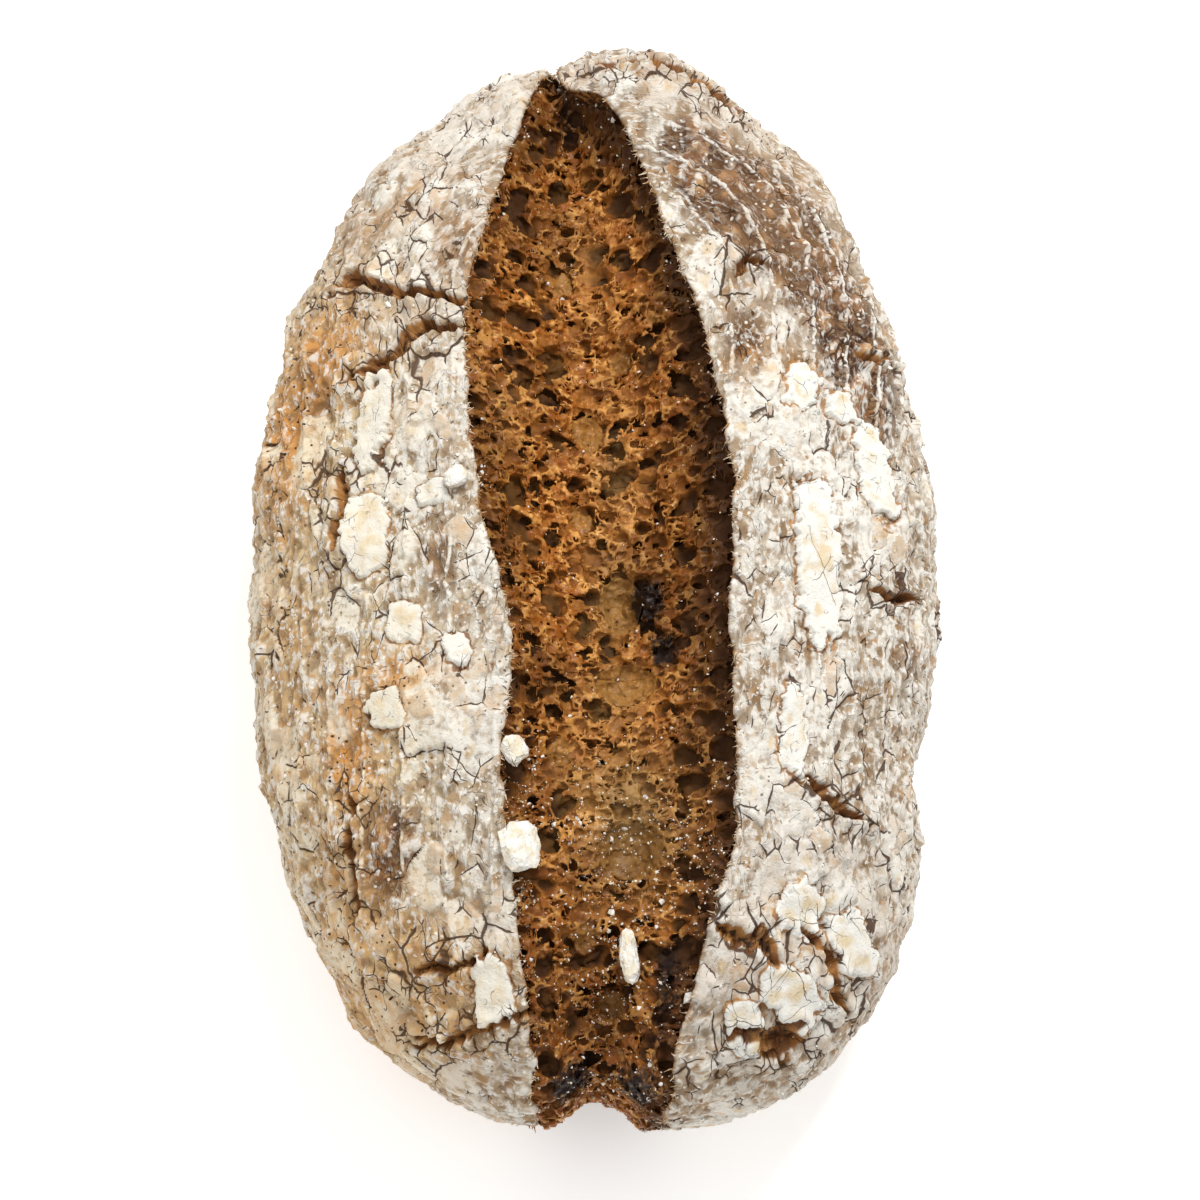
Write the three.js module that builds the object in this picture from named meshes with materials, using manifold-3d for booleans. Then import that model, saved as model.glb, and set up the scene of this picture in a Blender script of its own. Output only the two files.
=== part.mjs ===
// A whole oval loaf of dark buckwheat bread, proofed in a cane basket and burst open along its length.
// Millimetres, +Z up, +Y along the loaf towards its folded end; the origin is on the table under its middle.
// The loaf is one solid: a torn crumb body held in two crust halves that meet underneath.

import * as THREE from 'three';
import { mergeVertices } from 'three/addons/utils/BufferGeometryUtils.js';
import { ImprovedNoise } from 'three/addons/math/ImprovedNoise.js';
import Module from 'manifold-3d';

// ---- driving dimensions -----------------------------------------------------------------------

const LOAF = {
  length: 265,
  halfWidthLeft: 79,
  halfWidthRight: 80,
  bulgeHeight: 38,        // where the sides stand out furthest
  crownRise: 48,          // crown above the bulge
  bellyDrop: 48,          // the belly would reach this far below the bulge, but the table cuts it flat
  baseRounding: 3,
};

// How square the outline is in each quarter of the plan, and the section above and below the bulge.
const SQUARENESS = {
  leftNear: 2.4,
  leftFar: 2.05,
  rightNear: 3.0,
  rightFar: 2.0,
  crown: 2.3,
  belly: 3.0,
};

// The burst runs over the loaf from the far end to the near end. Stations are degrees of that arc:
// 0 far end, 90 middle of the crown, 180 near end, 270 under the loaf. Widths are x in millimetres.
const BURST_LEFT_EDGE = [
  [-70, 3], [-12, -8], [20, -12], [37, -14.8], [49, -22.4], [62, -28.2], [73, -30], [82, -28.6], [92, -24.8],
  [101, -19.5], [107, -18.6], [117, -21], [127, -19.3], [137, -17], [150, -14.4], [178, -13.6], [215, -12], [240, 3],
];
const BURST_RIGHT_EDGE = [
  [-70, -3], [-12, -7], [20, -8], [35, -5.5], [39, 2.4], [49, 12.5], [58, 18.2], [68, 25], [78, 29.9], [92, 33],
  [103, 31.8], [116, 33.6], [126, 32.6], [135, 28], [143, 23.6], [154, 19.7], [178, 17.6], [215, 15], [240, -3],
];
// Depth of the torn valley under the crown line, and how far the crumb lies under each crust lip.
const VALLEY_DEPTH = [
  [-70, 2], [0, 4], [30, 9], [48, 15], [70, 19], [92, 20], [108, 17], [125, 13], [145, 11], [165, 8], [185, 6.5],
  [215, 4], [240, 2],
];
const VALLEY_SHARE = [[-70, 1], [130, 1], [160, 0.62], [240, 0.6]];   // how much of the burst's width it takes
const VALLEY_ROUNDING = 1.7;
const LIP_THICKNESS_LEFT = [[-70, 3], [20, 2.6], [90, 3], [140, 2.6], [165, 1], [215, 0.8], [240, 3]];
const LIP_THICKNESS_RIGHT = [[-70, 3], [20, 3.4], [90, 4.4], [140, 3.4], [165, 1], [215, 0.8], [240, 3]];
const LIP_UNDERCUT = 2.2;

// Swellings and dents of the crust: centre, reach and how far the skin moves out of the loaf.
const SWELLINGS = [
  { at: [14, 112, 66], reach: [15, 13, 16], rise: 6.5 },    // right flap, curled up at the far end
  { at: [-16, 112, 62], reach: [9, 10, 12], rise: 2.5 },    // left flap tip
  { at: [-22, 126, 44], reach: [26, 22, 40], rise: -5 },    // the left half is shorter at the far end
  { at: [80, -50, 34], reach: [22, 13, 34], rise: -6 },     // waist low on the right side
  { at: [46, -104, 50], reach: [20, 14, 24], rise: 2.2 },   // heel under the plates on the right
  { at: [37, 0, 86], reach: [9, 92, 16], rise: 2.6 },       // raised right lip
  { at: [-32, 36, 86], reach: [7, 52, 14], rise: 1.4 },     // raised left lip
  { at: [-58, -76, 60], reach: [20, 26, 26], rise: -1.6 },
];
const SKIN_WAVE = { height: 0.7, lengths: [61, 43, 37] };

const CANE_RIDGE = { height: 0.55 };                         // print of the basket's cane coils

// Grid of the crust and of the crumb: segments across, along and up.
const CRUST_GRID = [7, 30, 16];
const CRUMB_GRID = [20, 70, 30];
const BURST_COLUMNS = 0.8;                                   // share of the crumb's columns that lie in the burst
const CRUMB_OVERLAP = 1.06;                                  // and how far those reach past the lips
const CRUMB_RELIEF = { height: 1.5, size: 6.5, fineHeight: 0.8, fineSize: 3.1 };

// Big torn bubbles in the crumb: arc station, place across the burst (-1 left edge, 1 right), radii and depth.
const BUBBLES = [
  { station: 78, across: -0.05, along: 6, wide: 4.5, depth: 4.5 },
  { station: 98, across: 0.1, along: 9, wide: 6, depth: 5.5 },
  { station: 106, across: 0.12, along: 7, wide: 9, depth: 5 },
  { station: 124, across: 0.16, along: 7, wide: 8.5, depth: 4 },
  { station: 60, across: -0.2, along: 5, wide: 4, depth: 3 },
  { station: 87, across: -0.35, along: 4, wide: 3.5, depth: 3 },
];

// Deep cracks across the floured crust: points [x, y] seen from above, width at the skin and depth.
const CRACK_FOOT = 0.25;                                     // half width at the bottom of a crack
const CRACKS = [
  { path: [[-62, 58], [-52, 60], [-42, 54], [-31, 50]], width: 2.6, depth: 3.2 },
  { path: [[-56, 35], [-47, 38], [-38, 43], [-31, 44]], width: 3.0, depth: 3.8 },
  { path: [[-57, 12], [-58, 2], [-57, -9]], width: 1.8, depth: 2.4 },
  { path: [[-55, -66], [-52, -80], [-53, -93]], width: 1.8, depth: 2.4 },
  { path: [[-40, -104], [-31, -104], [-22, -101]], width: 2.2, depth: 2.8 },
  { path: [[64, -15], [70, -17], [76, -15]], width: 2.8, depth: 3.4 },
  { path: [[46, -62], [54, -69], [63, -73]], width: 2.4, depth: 3.0 },
  { path: [[40, 60], [36, 62], [31, 57]], width: 2.0, depth: 2.4 },
  { path: [[60, 45], [66, 42], [70, 44]], width: 2.2, depth: 2.8 },
  { path: [[46, -96], [53, -103], [56, -111]], width: 3.2, depth: 3.8 },
  { path: [[28, -96], [36, -99], [40, -106]], width: 3.6, depth: 4.2 },
  { path: [[30, -120], [40, -120], [48, -116]], width: 2.8, depth: 3.2 },
  { path: [[2, 117], [14, 116], [26, 112], [34, 106]], width: 2.4, depth: 3.2 },   // behind the flap's second fold
];

// Slabs of caked flour stuck on the crust: centre [x, y], length along the loaf, width, turn, thickness.
const SLABS = [
  { at: [51, -12], length: 38, width: 9.5, turn: 4, thick: 1.7 },
  { at: [48, 30], length: 12, width: 7, turn: -20, thick: 1.4 },
  { at: [57, 27], length: 8, width: 6, turn: 30, thick: 1.3 },
  { at: [65, 13], length: 24, width: 8, turn: 12, thick: 1.4 },
  { at: [45, -54], length: 18, width: 6, turn: 0, thick: 1.5 },
  { at: [46, -92], length: 12, width: 9, turn: -30, thick: 1.6 },
  { at: [58, -98], length: 13, width: 10, turn: 25, thick: 1.7 },
  { at: [44, -110], length: 13, width: 10, turn: 60, thick: 1.7 },
  { at: [34, -117], length: 9, width: 8, turn: 10, thick: 1.5 },
  { at: [-50, 22], length: 22, width: 7, turn: -8, thick: 1.3 },
  { at: [-51, -6], length: 19, width: 10, turn: 5, thick: 1.6 },
  { at: [-36, 2], length: 6, width: 7, turn: 20, thick: 1.3 },
  { at: [-42, -28], length: 9, width: 7, turn: 0, thick: 1.2 },
  { at: [-46, -48], length: 10, width: 8, turn: 30, thick: 1.2 },
  { at: [-30, -36], length: 8, width: 6, turn: 10, thick: 1.2 },
  { at: [-22, -110], length: 14, width: 9, turn: 5, thick: 1.5 },
];
const SLAB_SIDES = 10;
const SLAB_SINK = 2.2;                                       // how deep a slab's foot is buried in the crust

// Loose chips of caked flour: place, size [x, y, z], turn about the upright and lean towards +x.
const CHIPS = [
  { name: 'flour_chip_large', at: [-15.8, -80.4], size: [9.5, 11.5, 4.2], turn: 12, lean: 30 },
  { name: 'flour_chip_upper', at: [-17.2, -58.4], size: [6, 6.5, 3.8], turn: 40, lean: 34 },
  { name: 'flour_chip_long', at: [8.4, -100.4], size: [4, 12.5, 3.2], turn: 6, lean: -12 },
  { name: 'flour_chip_crust', at: [-30.8, 4.2], size: [5.2, 5, 3.4], turn: 20, lean: -14 },
];
const CHIP_GAP = 0.35;

const ROUND_TURN = 2 * Math.PI;
const JOIN_TOLERANCE = 1e-3;
const SHORTEST_EDGE = 0.08;
const SMALLEST_DETAIL = 0.15;                                // relief finer than this is smoothed off the joined loaf

// ---- materials --------------------------------------------------------------------------------

const crustMaterial = new THREE.MeshStandardMaterial({ color: 0xc9bda6, roughness: 0.95, metalness: 0 });
const flourMaterial = new THREE.MeshStandardMaterial({ color: 0xf1ece2, roughness: 1, metalness: 0 });

// ---- small tools ------------------------------------------------------------------------------

function seededRandom(seed) {
  let state = seed;
  return () => {
    state = (state * 16807) % 2147483647;
    return state / 2147483647;
  };
}

// Smooth curve through [station, value] pairs, flat at both ends.
function profile(pairs, station) {
  const last = pairs.length - 1;
  if (station <= pairs[0][0]) return pairs[0][1];
  if (station >= pairs[last][0]) return pairs[last][1];
  let i = 0;
  while (station > pairs[i + 1][0]) i += 1;
  const slope = (k) => {
    if (k === 0 || k === last) return 0;
    return (pairs[k + 1][1] - pairs[k - 1][1]) / (pairs[k + 1][0] - pairs[k - 1][0]);
  };
  const span = pairs[i + 1][0] - pairs[i][0];
  const t = (station - pairs[i][0]) / span;
  const rise = pairs[i + 1][1] - pairs[i][1];
  const ease = t * t * (3 - 2 * t);
  const pull = slope(i) * span * t * (1 - t) * (1 - t) - slope(i + 1) * span * t * t * (1 - t);
  return pairs[i][1] + rise * ease + pull;
}

// A plain shape whose faces share their corners, so that moving the corners keeps it closed.
function shared(geometry) {
  geometry.deleteAttribute('normal');
  geometry.deleteAttribute('uv');
  return mergeVertices(geometry, JOIN_TOLERANCE);
}

// A point of a cube's face, moved onto the unit sphere with even spacing.
function cubeToSphere(a, b, c) {
  return new THREE.Vector3(
    a * Math.sqrt(1 - b * b / 2 - c * c / 2 + b * b * c * c / 3),
    b * Math.sqrt(1 - a * a / 2 - c * c / 2 + a * a * c * c / 3),
    c * Math.sqrt(1 - a * a / 2 - b * b / 2 + a * a * b * b / 3),
  );
}

// ---- the loaf's skin --------------------------------------------------------------------------

const halfLength = LOAF.length / 2;

// Reach of the skin along a direction given in units of the loaf's half sizes.
function skinReach(direction) {
  const near = direction.y < 0;
  const left = direction.x < 0;
  const farSquare = left ? SQUARENESS.leftFar : SQUARENESS.rightFar;
  const nearSquare = left ? SQUARENESS.leftNear : SQUARENESS.rightNear;
  const plan = near ? nearSquare : farSquare;
  const section = direction.z > 0 ? SQUARENESS.crown : SQUARENESS.belly;
  const flat = Math.abs(direction.x) ** plan + Math.abs(direction.y) ** plan;
  return (flat ** (section / plan) + Math.abs(direction.z) ** section) ** (-1 / section);
}

function arcStation(direction) {
  const degrees = THREE.MathUtils.radToDeg(Math.atan2(direction.z, direction.y));
  return degrees < -90 ? degrees + 360 : degrees;
}

// Shape of one soft swelling or dent at a point.
function swellingAt(point) {
  let rise = 0;
  for (const swelling of SWELLINGS) {
    const dx = (point.x - swelling.at[0]) / swelling.reach[0];
    const dy = (point.y - swelling.at[1]) / swelling.reach[1];
    const dz = (point.z - swelling.at[2]) / swelling.reach[2];
    rise += swelling.rise * Math.exp(-(dx * dx + dy * dy + dz * dz));
  }
  return rise;
}

function skinWave(point) {
  const [longWave, midWave, shortWave] = SKIN_WAVE.lengths;
  const a = Math.sin(ROUND_TURN * (point.y / longWave + point.x / shortWave));
  const b = Math.sin(ROUND_TURN * (point.x / midWave - point.z / shortWave) + 2);
  const c = Math.sin(ROUND_TURN * (point.y / shortWave + point.z / midWave) + 4);
  return SKIN_WAVE.height * (a + b + c) / 1.5;
}

// Point of the skin for a direction, pushed in by a depth.
function skinPoint(direction, depth = 0, relief = 0) {
  const reach = skinReach(direction);
  const halfWidth = direction.x < 0 ? LOAF.halfWidthLeft : LOAF.halfWidthRight;
  const rise = direction.z > 0 ? LOAF.crownRise : LOAF.bellyDrop;
  const point = new THREE.Vector3(
    direction.x * reach * halfWidth,
    direction.y * reach * halfLength,
    direction.z * reach * rise,
  );
  const outward = new THREE.Vector3(
    point.x / halfWidth ** 2,
    point.y / halfLength ** 2,
    point.z / rise ** 2,
  ).normalize();
  point.z += LOAF.bulgeHeight;
  const move = swellingAt(point) + skinWave(point) + relief - depth;
  point.addScaledVector(outward, move);
  point.z = flattenBase(point.z);
  return point;
}

// The table cuts the belly flat, with a soft edge.
function flattenBase(z) {
  const soft = LOAF.baseRounding;
  if (z > soft) return z;
  if (z < -soft) return 0;
  return (z + soft) ** 2 / (4 * soft);
}

// The same direction with another sideways part.
function tilted(direction, tilt) {
  const flat = Math.hypot(direction.y, direction.z) || 1;
  const shrink = Math.sqrt(Math.max(0, 1 - tilt * tilt)) / flat;
  return new THREE.Vector3(tilt, direction.y * shrink, direction.z * shrink);
}

// Sideways part at which a direction's skin point stands at x.
function tiltTo(direction, x) {
  const halfWidth = x < 0 ? LOAF.halfWidthLeft : LOAF.halfWidthRight;
  let tilt = x / halfWidth;
  for (let pass = 0; pass < 3; pass += 1) tilt = x / (halfWidth * skinReach(tilted(direction, tilt)));
  return tilt;
}

// ---- crust halves and crumb body --------------------------------------------------------------

function crustHalf(side, edgeTable, lipTable) {
  const [across, along, up] = CRUST_GRID;
  const geometry = shared(new THREE.BoxGeometry(1, 2, 2, across, along, up).translate(0.5, 0, 0));
  const place = geometry.getAttribute('position');
  const centre = new THREE.Vector3(0, 0, LOAF.bulgeHeight * 0.8);
  for (let i = 0; i < place.count; i += 1) {
    const [a, b, c] = [place.getX(i), place.getY(i), place.getZ(i)];
    const rim = Math.max(Math.abs(b), Math.abs(c));
    const inside = a < 1e-6 && rim < 1 - 1e-6;
    const scale = inside && rim > 0 ? 1 / rim : 1;
    const direction = cubeToSphere(side * a, b * scale, rim > 0 ? c * scale : 1);
    const station = arcStation(direction);
    const edge = profile(edgeTable, station);
    const open = tiltTo(direction, edge);
    const turned = tilted(direction, open + (1 - side * open) * direction.x);
    const column = Math.round(a * across) + Math.round((1 - c) * up / 2);
    const ridge = turned.z > 0 && !inside && a > 1e-6 ? CANE_RIDGE.height * (column % 2 ? 1 : -1) : 0;
    const point = skinPoint(turned, 0, ridge);
    if (inside) {
      const lip = profile(lipTable, station);
      const ring = (1 - rim) * along / 2;
      const towards = centre.clone().sub(point).normalize();
      const depth = ring < 1.5 ? lip + 1.5 : point.distanceTo(centre) * (1 - rim);
      point.addScaledVector(towards, depth);
      if (ring < 1.5) point.x += side * LIP_UNDERCUT;
    }
    place.setXYZ(i, point.x, point.y, point.z);
  }
  return side > 0 ? geometry : turnInsideOut(geometry);
}

// A mirrored mapping turns the faces in, so every triangle is reversed.
function turnInsideOut(geometry) {
  const index = geometry.getIndex();
  for (let i = 0; i < index.count; i += 3) {
    const first = index.getX(i);
    index.setX(i, index.getX(i + 2));
    index.setX(i + 2, first);
  }
  return geometry;
}

const noise = new ImprovedNoise();

// Height of the torn crumb over its valley.
function crumbRelief(x, y, z) {
  const { height, size, fineHeight, fineSize } = CRUMB_RELIEF;
  const coarse = noise.noise(x / size, y / size, z / size);
  const fine = noise.noise(x / fineSize + 9, y / fineSize, z / fineSize);
  return height * coarse * 1.6 + fineHeight * fine * 1.6;
}

function bubbleDepth(station, across, halfBurst) {
  let depth = 0;
  const degreeLength = halfLength * Math.PI / 180;
  for (const bubble of BUBBLES) {
    const dy = (station - bubble.station) * degreeLength * 0.8 / bubble.along;
    const dx = (across - bubble.across) * halfBurst / bubble.wide;
    const distance = dx * dx + dy * dy;
    if (distance < 1) depth = Math.max(depth, bubble.depth * Math.sqrt(1 - distance));
  }
  return depth;
}

function burstAt(station) {
  const left = profile(BURST_LEFT_EDGE, station);
  const right = profile(BURST_RIGHT_EDGE, station);
  return { middle: (left + right) / 2, half: Math.max((right - left) / 2, 1) };
}

// Depth of the crumb under the skin: a valley between the lips, a constant under the crust.
function crumbDepth(station, x) {
  const { middle, half } = burstAt(station);
  const across = (x - middle) / half;
  const side = THREE.MathUtils.clamp(across / 2 + 0.5, 0, 1);
  const lip = THREE.MathUtils.lerp(
    profile(LIP_THICKNESS_LEFT, station),
    profile(LIP_THICKNESS_RIGHT, station),
    side,
  );
  const reach = Math.min(Math.abs(across), 1);
  const floor = Math.min(1, reach / profile(VALLEY_SHARE, station));
  const valley = profile(VALLEY_DEPTH, station) * (1 - floor ** VALLEY_ROUNDING) * Math.min(1, half / 8);
  const open = reach < 1 ? bubbleDepth(station, across, half) : 0;
  return { depth: lip + valley + open, show: 1 - reach };
}

// Direction of a crumb corner: most columns follow the burst, few the part under the crust.
function crumbDirection(a, b, c) {
  const under = Math.max(0, (Math.abs(a) - BURST_COLUMNS) / (1 - BURST_COLUMNS));
  const direction = cubeToSphere(Math.sign(a) * under, b, c);
  const { middle, half } = burstAt(arcStation(direction));
  const across = THREE.MathUtils.clamp(a / BURST_COLUMNS, -1, 1) * CRUMB_OVERLAP;
  const tilt = tiltTo(direction, middle + across * half);
  return tilted(direction, THREE.MathUtils.lerp(tilt, direction.x, under));
}

function crumbBody() {
  const [across, along, up] = CRUMB_GRID;
  const geometry = shared(new THREE.BoxGeometry(2, 2, 2, across, along, up));
  const place = geometry.getAttribute('position');
  for (let i = 0; i < place.count; i += 1) {
    const [a, b, c] = [place.getX(i), place.getY(i), place.getZ(i)];
    const direction = crumbDirection(a, b, c);
    const station = arcStation(direction);
    const bare = skinPoint(direction);
    const { depth, show } = crumbDepth(station, bare.x);
    const relief = show > 0 ? crumbRelief(bare.x, bare.y, bare.z) * Math.min(1, show * 4) : 0;
    const point = skinPoint(direction, depth - relief);
    point.z = Math.max(point.z, 0.5);
    place.setXYZ(i, point.x, point.y, point.z);
  }
  return geometry;
}

// ---- slabs, cracks and chips ------------------------------------------------------------------

// Direction whose skin point stands over [x, y], and that point.
function skinAbove(x, y) {
  const halfWidth = x < 0 ? LOAF.halfWidthLeft : LOAF.halfWidthRight;
  let height = 0.6;
  let direction = new THREE.Vector3();
  for (let pass = 0; pass < 24; pass += 1) {
    direction = new THREE.Vector3(x / halfWidth, y / halfLength, height);
    const reach = skinReach(direction);
    height *= 1 + (reach - 1) * 1.2;
    height = Math.max(height, 0.02);
  }
  return direction;
}

function skinOver(x, y, lift) {
  return skinPoint(skinAbove(x, y), 0, lift);
}

function slabSolid(slab, random) {
  const geometry = shared(new THREE.CylinderGeometry(1, 1, 1, SLAB_SIDES, 2).rotateX(Math.PI / 2));
  const place = geometry.getAttribute('position');
  const turn = THREE.MathUtils.degToRad(slab.turn);
  const edges = Array.from({ length: SLAB_SIDES }, () => 0.82 + 0.36 * random());
  for (let i = 0; i < place.count; i += 1) {
    const [x, y, z] = [place.getX(i), place.getY(i), place.getZ(i)];
    const angle = Math.atan2(y, x);
    const corner = ((Math.round(angle / ROUND_TURN * SLAB_SIDES) % SLAB_SIDES) + SLAB_SIDES) % SLAB_SIDES;
    const square = 1 / Math.max(Math.abs(Math.cos(angle)), Math.abs(Math.sin(angle)), 0.8);
    const radius = Math.hypot(x, y) * edges[corner] * square;
    const u = Math.cos(angle) * radius * slab.width / 2;
    const v = Math.sin(angle) * radius * slab.length / 2;
    const top = z > 0.4;
    const spread = top ? 0.9 : 1;
    const lift = z < -0.4 ? -SLAB_SINK : slab.thick * (top ? 1 : 0.45);
    const px = slab.at[0] + (u * Math.cos(turn) - v * Math.sin(turn)) * spread;
    const py = slab.at[1] + (u * Math.sin(turn) + v * Math.cos(turn)) * spread;
    const point = skinOver(px, py, lift);
    place.setXYZ(i, point.x, point.y, point.z);
  }
  return geometry;
}

// A wedge along a crack, wide at the skin and sharp at its foot, that the loaf is cut with.
function crackSolid(crack, random) {
  const path = crack.path.map(([x, y]) => new THREE.Vector3(x, y, 0));
  const curve = new THREE.CatmullRomCurve3(path);
  const steps = Math.max(4, Math.round(curve.getLength() / 4));
  const geometry = shared(new THREE.BoxGeometry(2, 1, 2, 1, steps, 1));
  const place = geometry.getAttribute('position');
  const jitter = Array.from({ length: steps + 1 }, () => (random() - 0.5) * crack.width * 0.8);
  for (let i = 0; i < place.count; i += 1) {
    const [a, b, c] = [place.getX(i), place.getY(i) + 0.5, place.getZ(i)];
    const centre = curve.getPoint(b);
    const along = curve.getTangent(b);
    const taper = 0.25 + 0.75 * Math.sin(Math.PI * THREE.MathUtils.clamp(b, 0.06, 0.94));
    const wide = c > 0 ? crack.width * 0.9 * taper : CRACK_FOOT;
    const shift = jitter[Math.round(b * steps)] + a * wide;
    const lift = c > 0 ? 4 : -crack.depth * taper;
    const point = skinOver(centre.x + along.y * shift, centre.y - along.x * shift, lift);
    place.setXYZ(i, point.x, point.y, point.z);
  }
  return geometry;
}

// ---- joining ----------------------------------------------------------------------------------

const wasm = await Module();
wasm.setup();

function toSolid(geometry) {
  return new wasm.Manifold(new wasm.Mesh({
    numProp: 3,
    vertProperties: new Float32Array(geometry.getAttribute('position').array),
    triVerts: new Uint32Array(geometry.getIndex().array),
  }));
}

function toMesh(solid, name, material) {
  const { vertProperties, triVerts } = solid.getMesh();
  const geometry = new THREE.BufferGeometry();
  geometry.setAttribute('position', new THREE.BufferAttribute(vertProperties, 3));
  geometry.setIndex(new THREE.BufferAttribute(triVerts, 1));
  geometry.computeVertexNormals();
  const mesh = new THREE.Mesh(geometry, material);
  mesh.name = name;
  return mesh;
}

function largestPiece(solid) {
  const pieces = solid.decompose();
  pieces.sort((one, other) => other.volume() - one.volume());
  return pieces[0];
}

// Draws the ends of very short edges together, so that no sliver is left along a cut.
function withoutSlivers(solid) {
  const mesh = solid.getMesh();
  const open = new THREE.BufferGeometry();
  open.setAttribute('position', new THREE.BufferAttribute(mesh.vertProperties, 3));
  open.setIndex(new THREE.BufferAttribute(mesh.triVerts, 1));
  const joined = mergeVertices(open, JOIN_TOLERANCE);
  const vertProperties = joined.getAttribute('position').array;
  const triVerts = joined.getIndex().array;
  const leader = Array.from({ length: vertProperties.length / 3 }, (_, i) => i);
  const leaderOf = (i) => {
    let top = i;
    while (leader[top] !== top) top = leader[top];
    return top;
  };
  const corner = (i) => new THREE.Vector3().fromArray(vertProperties, 3 * i);
  for (let i = 0; i < triVerts.length; i += 3) {
    for (let side = 0; side < 3; side += 1) {
      const from = triVerts[i + side];
      const to = triVerts[i + (side + 1) % 3];
      if (corner(from).distanceTo(corner(to)) < SHORTEST_EDGE) leader[leaderOf(from)] = leaderOf(to);
    }
  }
  const kept = [];
  for (let i = 0; i < triVerts.length; i += 3) {
    const [p, q, r] = [leaderOf(triVerts[i]), leaderOf(triVerts[i + 1]), leaderOf(triVerts[i + 2])];
    if (p !== q && q !== r && r !== p) kept.push(p, q, r);
  }
  return new wasm.Manifold(new wasm.Mesh({ numProp: 3, vertProperties, triVerts: new Uint32Array(kept) }));
}

function buildLoaf() {
  const random = seededRandom(41);
  let loaf = toSolid(crumbBody());
  loaf = loaf.add(toSolid(crustHalf(-1, BURST_LEFT_EDGE, LIP_THICKNESS_LEFT)));
  loaf = loaf.add(toSolid(crustHalf(1, BURST_RIGHT_EDGE, LIP_THICKNESS_RIGHT)));
  for (const slab of SLABS) loaf = loaf.add(toSolid(slabSolid(slab, random)));
  loaf = withoutSlivers(loaf.asOriginal().simplify(SMALLEST_DETAIL));
  for (const crack of CRACKS) loaf = loaf.subtract(toSolid(crackSolid(crack, random)));
  for (let pass = 0; pass < 2; pass += 1) loaf = largestPiece(withoutSlivers(loaf));
  return loaf;
}

const loafSolid = buildLoaf();

// Lowest place where a chip clears the loaf, found by lowering it until it would touch.
function chipMesh(chip, random) {
  const geometry = shared(new THREE.IcosahedronGeometry(1, 1));
  const corners = geometry.getAttribute('position');
  const turn = THREE.MathUtils.degToRad(chip.turn);
  for (let i = 0; i < corners.count; i += 1) {
    const [x, y, z] = [corners.getX(i), corners.getY(i), corners.getZ(i)];
    const rough = 0.86 + 0.28 * random();
    const u = Math.sign(x) * Math.abs(x) ** 0.7 * rough * chip.size[0] / 2;
    const v = Math.sign(y) * Math.abs(y) ** 0.7 * rough * chip.size[1] / 2;
    const w = Math.sign(z) * Math.abs(z) ** 0.6 * chip.size[2] / 2;
    corners.setXYZ(i, u * Math.cos(turn) - v * Math.sin(turn), u * Math.sin(turn) + v * Math.cos(turn), w);
  }
  geometry.rotateY(THREE.MathUtils.degToRad(chip.lean));
  const solid = toSolid(geometry);
  const swollen = solid.scale([1.06, 1.06, 1.12]);
  const step = 0.4;
  let height = skinOver(chip.at[0], chip.at[1], 0).z + chip.size[2];
  const touches = (z) => {
    const shared = swollen.translate([chip.at[0], chip.at[1], z - CHIP_GAP]).intersect(loafSolid);
    return !shared.isEmpty();
  };
  while (!touches(height)) height -= step;
  return toMesh(solid.translate([chip.at[0], chip.at[1], height + step]), chip.name, flourMaterial);
}

// ---- the scene --------------------------------------------------------------------------------

const group = new THREE.Group();
group.add(toMesh(loafSolid, 'loaf', crustMaterial));

const chipRandom = seededRandom(7);
for (const chip of CHIPS) group.add(chipMesh(chip, chipRandom));

export default group;
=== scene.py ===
# %% [markdown]
# # A burst loaf of buckwheat bread
# The real loaf is one piece of baked dough. It was proofed in a cane basket dusted with flour, so its crust
# carries the print of the cane and a cracked, floury coat, and in the oven it burst open along its length.
# This lesson dresses the plain CAD loaf: four quarters of crust, the torn crumb, an underside, loose flour
# chips. We start by loading the fixed frame, which tells us where everything is.

# %% Load the frame
import itertools
import math

import bpy
import numpy as np
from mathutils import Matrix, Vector


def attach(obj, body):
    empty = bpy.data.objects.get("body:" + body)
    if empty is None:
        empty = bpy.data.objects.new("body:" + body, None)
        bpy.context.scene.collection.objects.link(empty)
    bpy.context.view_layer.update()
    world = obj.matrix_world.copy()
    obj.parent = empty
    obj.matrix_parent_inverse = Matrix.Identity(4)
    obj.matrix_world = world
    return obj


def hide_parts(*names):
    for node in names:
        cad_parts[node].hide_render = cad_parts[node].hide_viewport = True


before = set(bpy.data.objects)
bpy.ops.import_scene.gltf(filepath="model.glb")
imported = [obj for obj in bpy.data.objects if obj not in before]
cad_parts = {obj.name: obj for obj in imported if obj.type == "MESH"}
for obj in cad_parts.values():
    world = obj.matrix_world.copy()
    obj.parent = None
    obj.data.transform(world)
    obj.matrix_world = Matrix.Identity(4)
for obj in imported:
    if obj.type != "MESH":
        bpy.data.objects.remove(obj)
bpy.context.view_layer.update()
MM = 0.001

# %% [markdown]
# ## Small tools for node trees
# Geometry Nodes and shaders share many nodes: noise, Voronoi cells and arithmetic. Three small classes add
# nodes and join them, so that one description of the crust can shape the mesh and colour it as well. The
# first class adds a node, sets its options, and feeds its sockets with numbers or with the outputs of other
# nodes.


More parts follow.
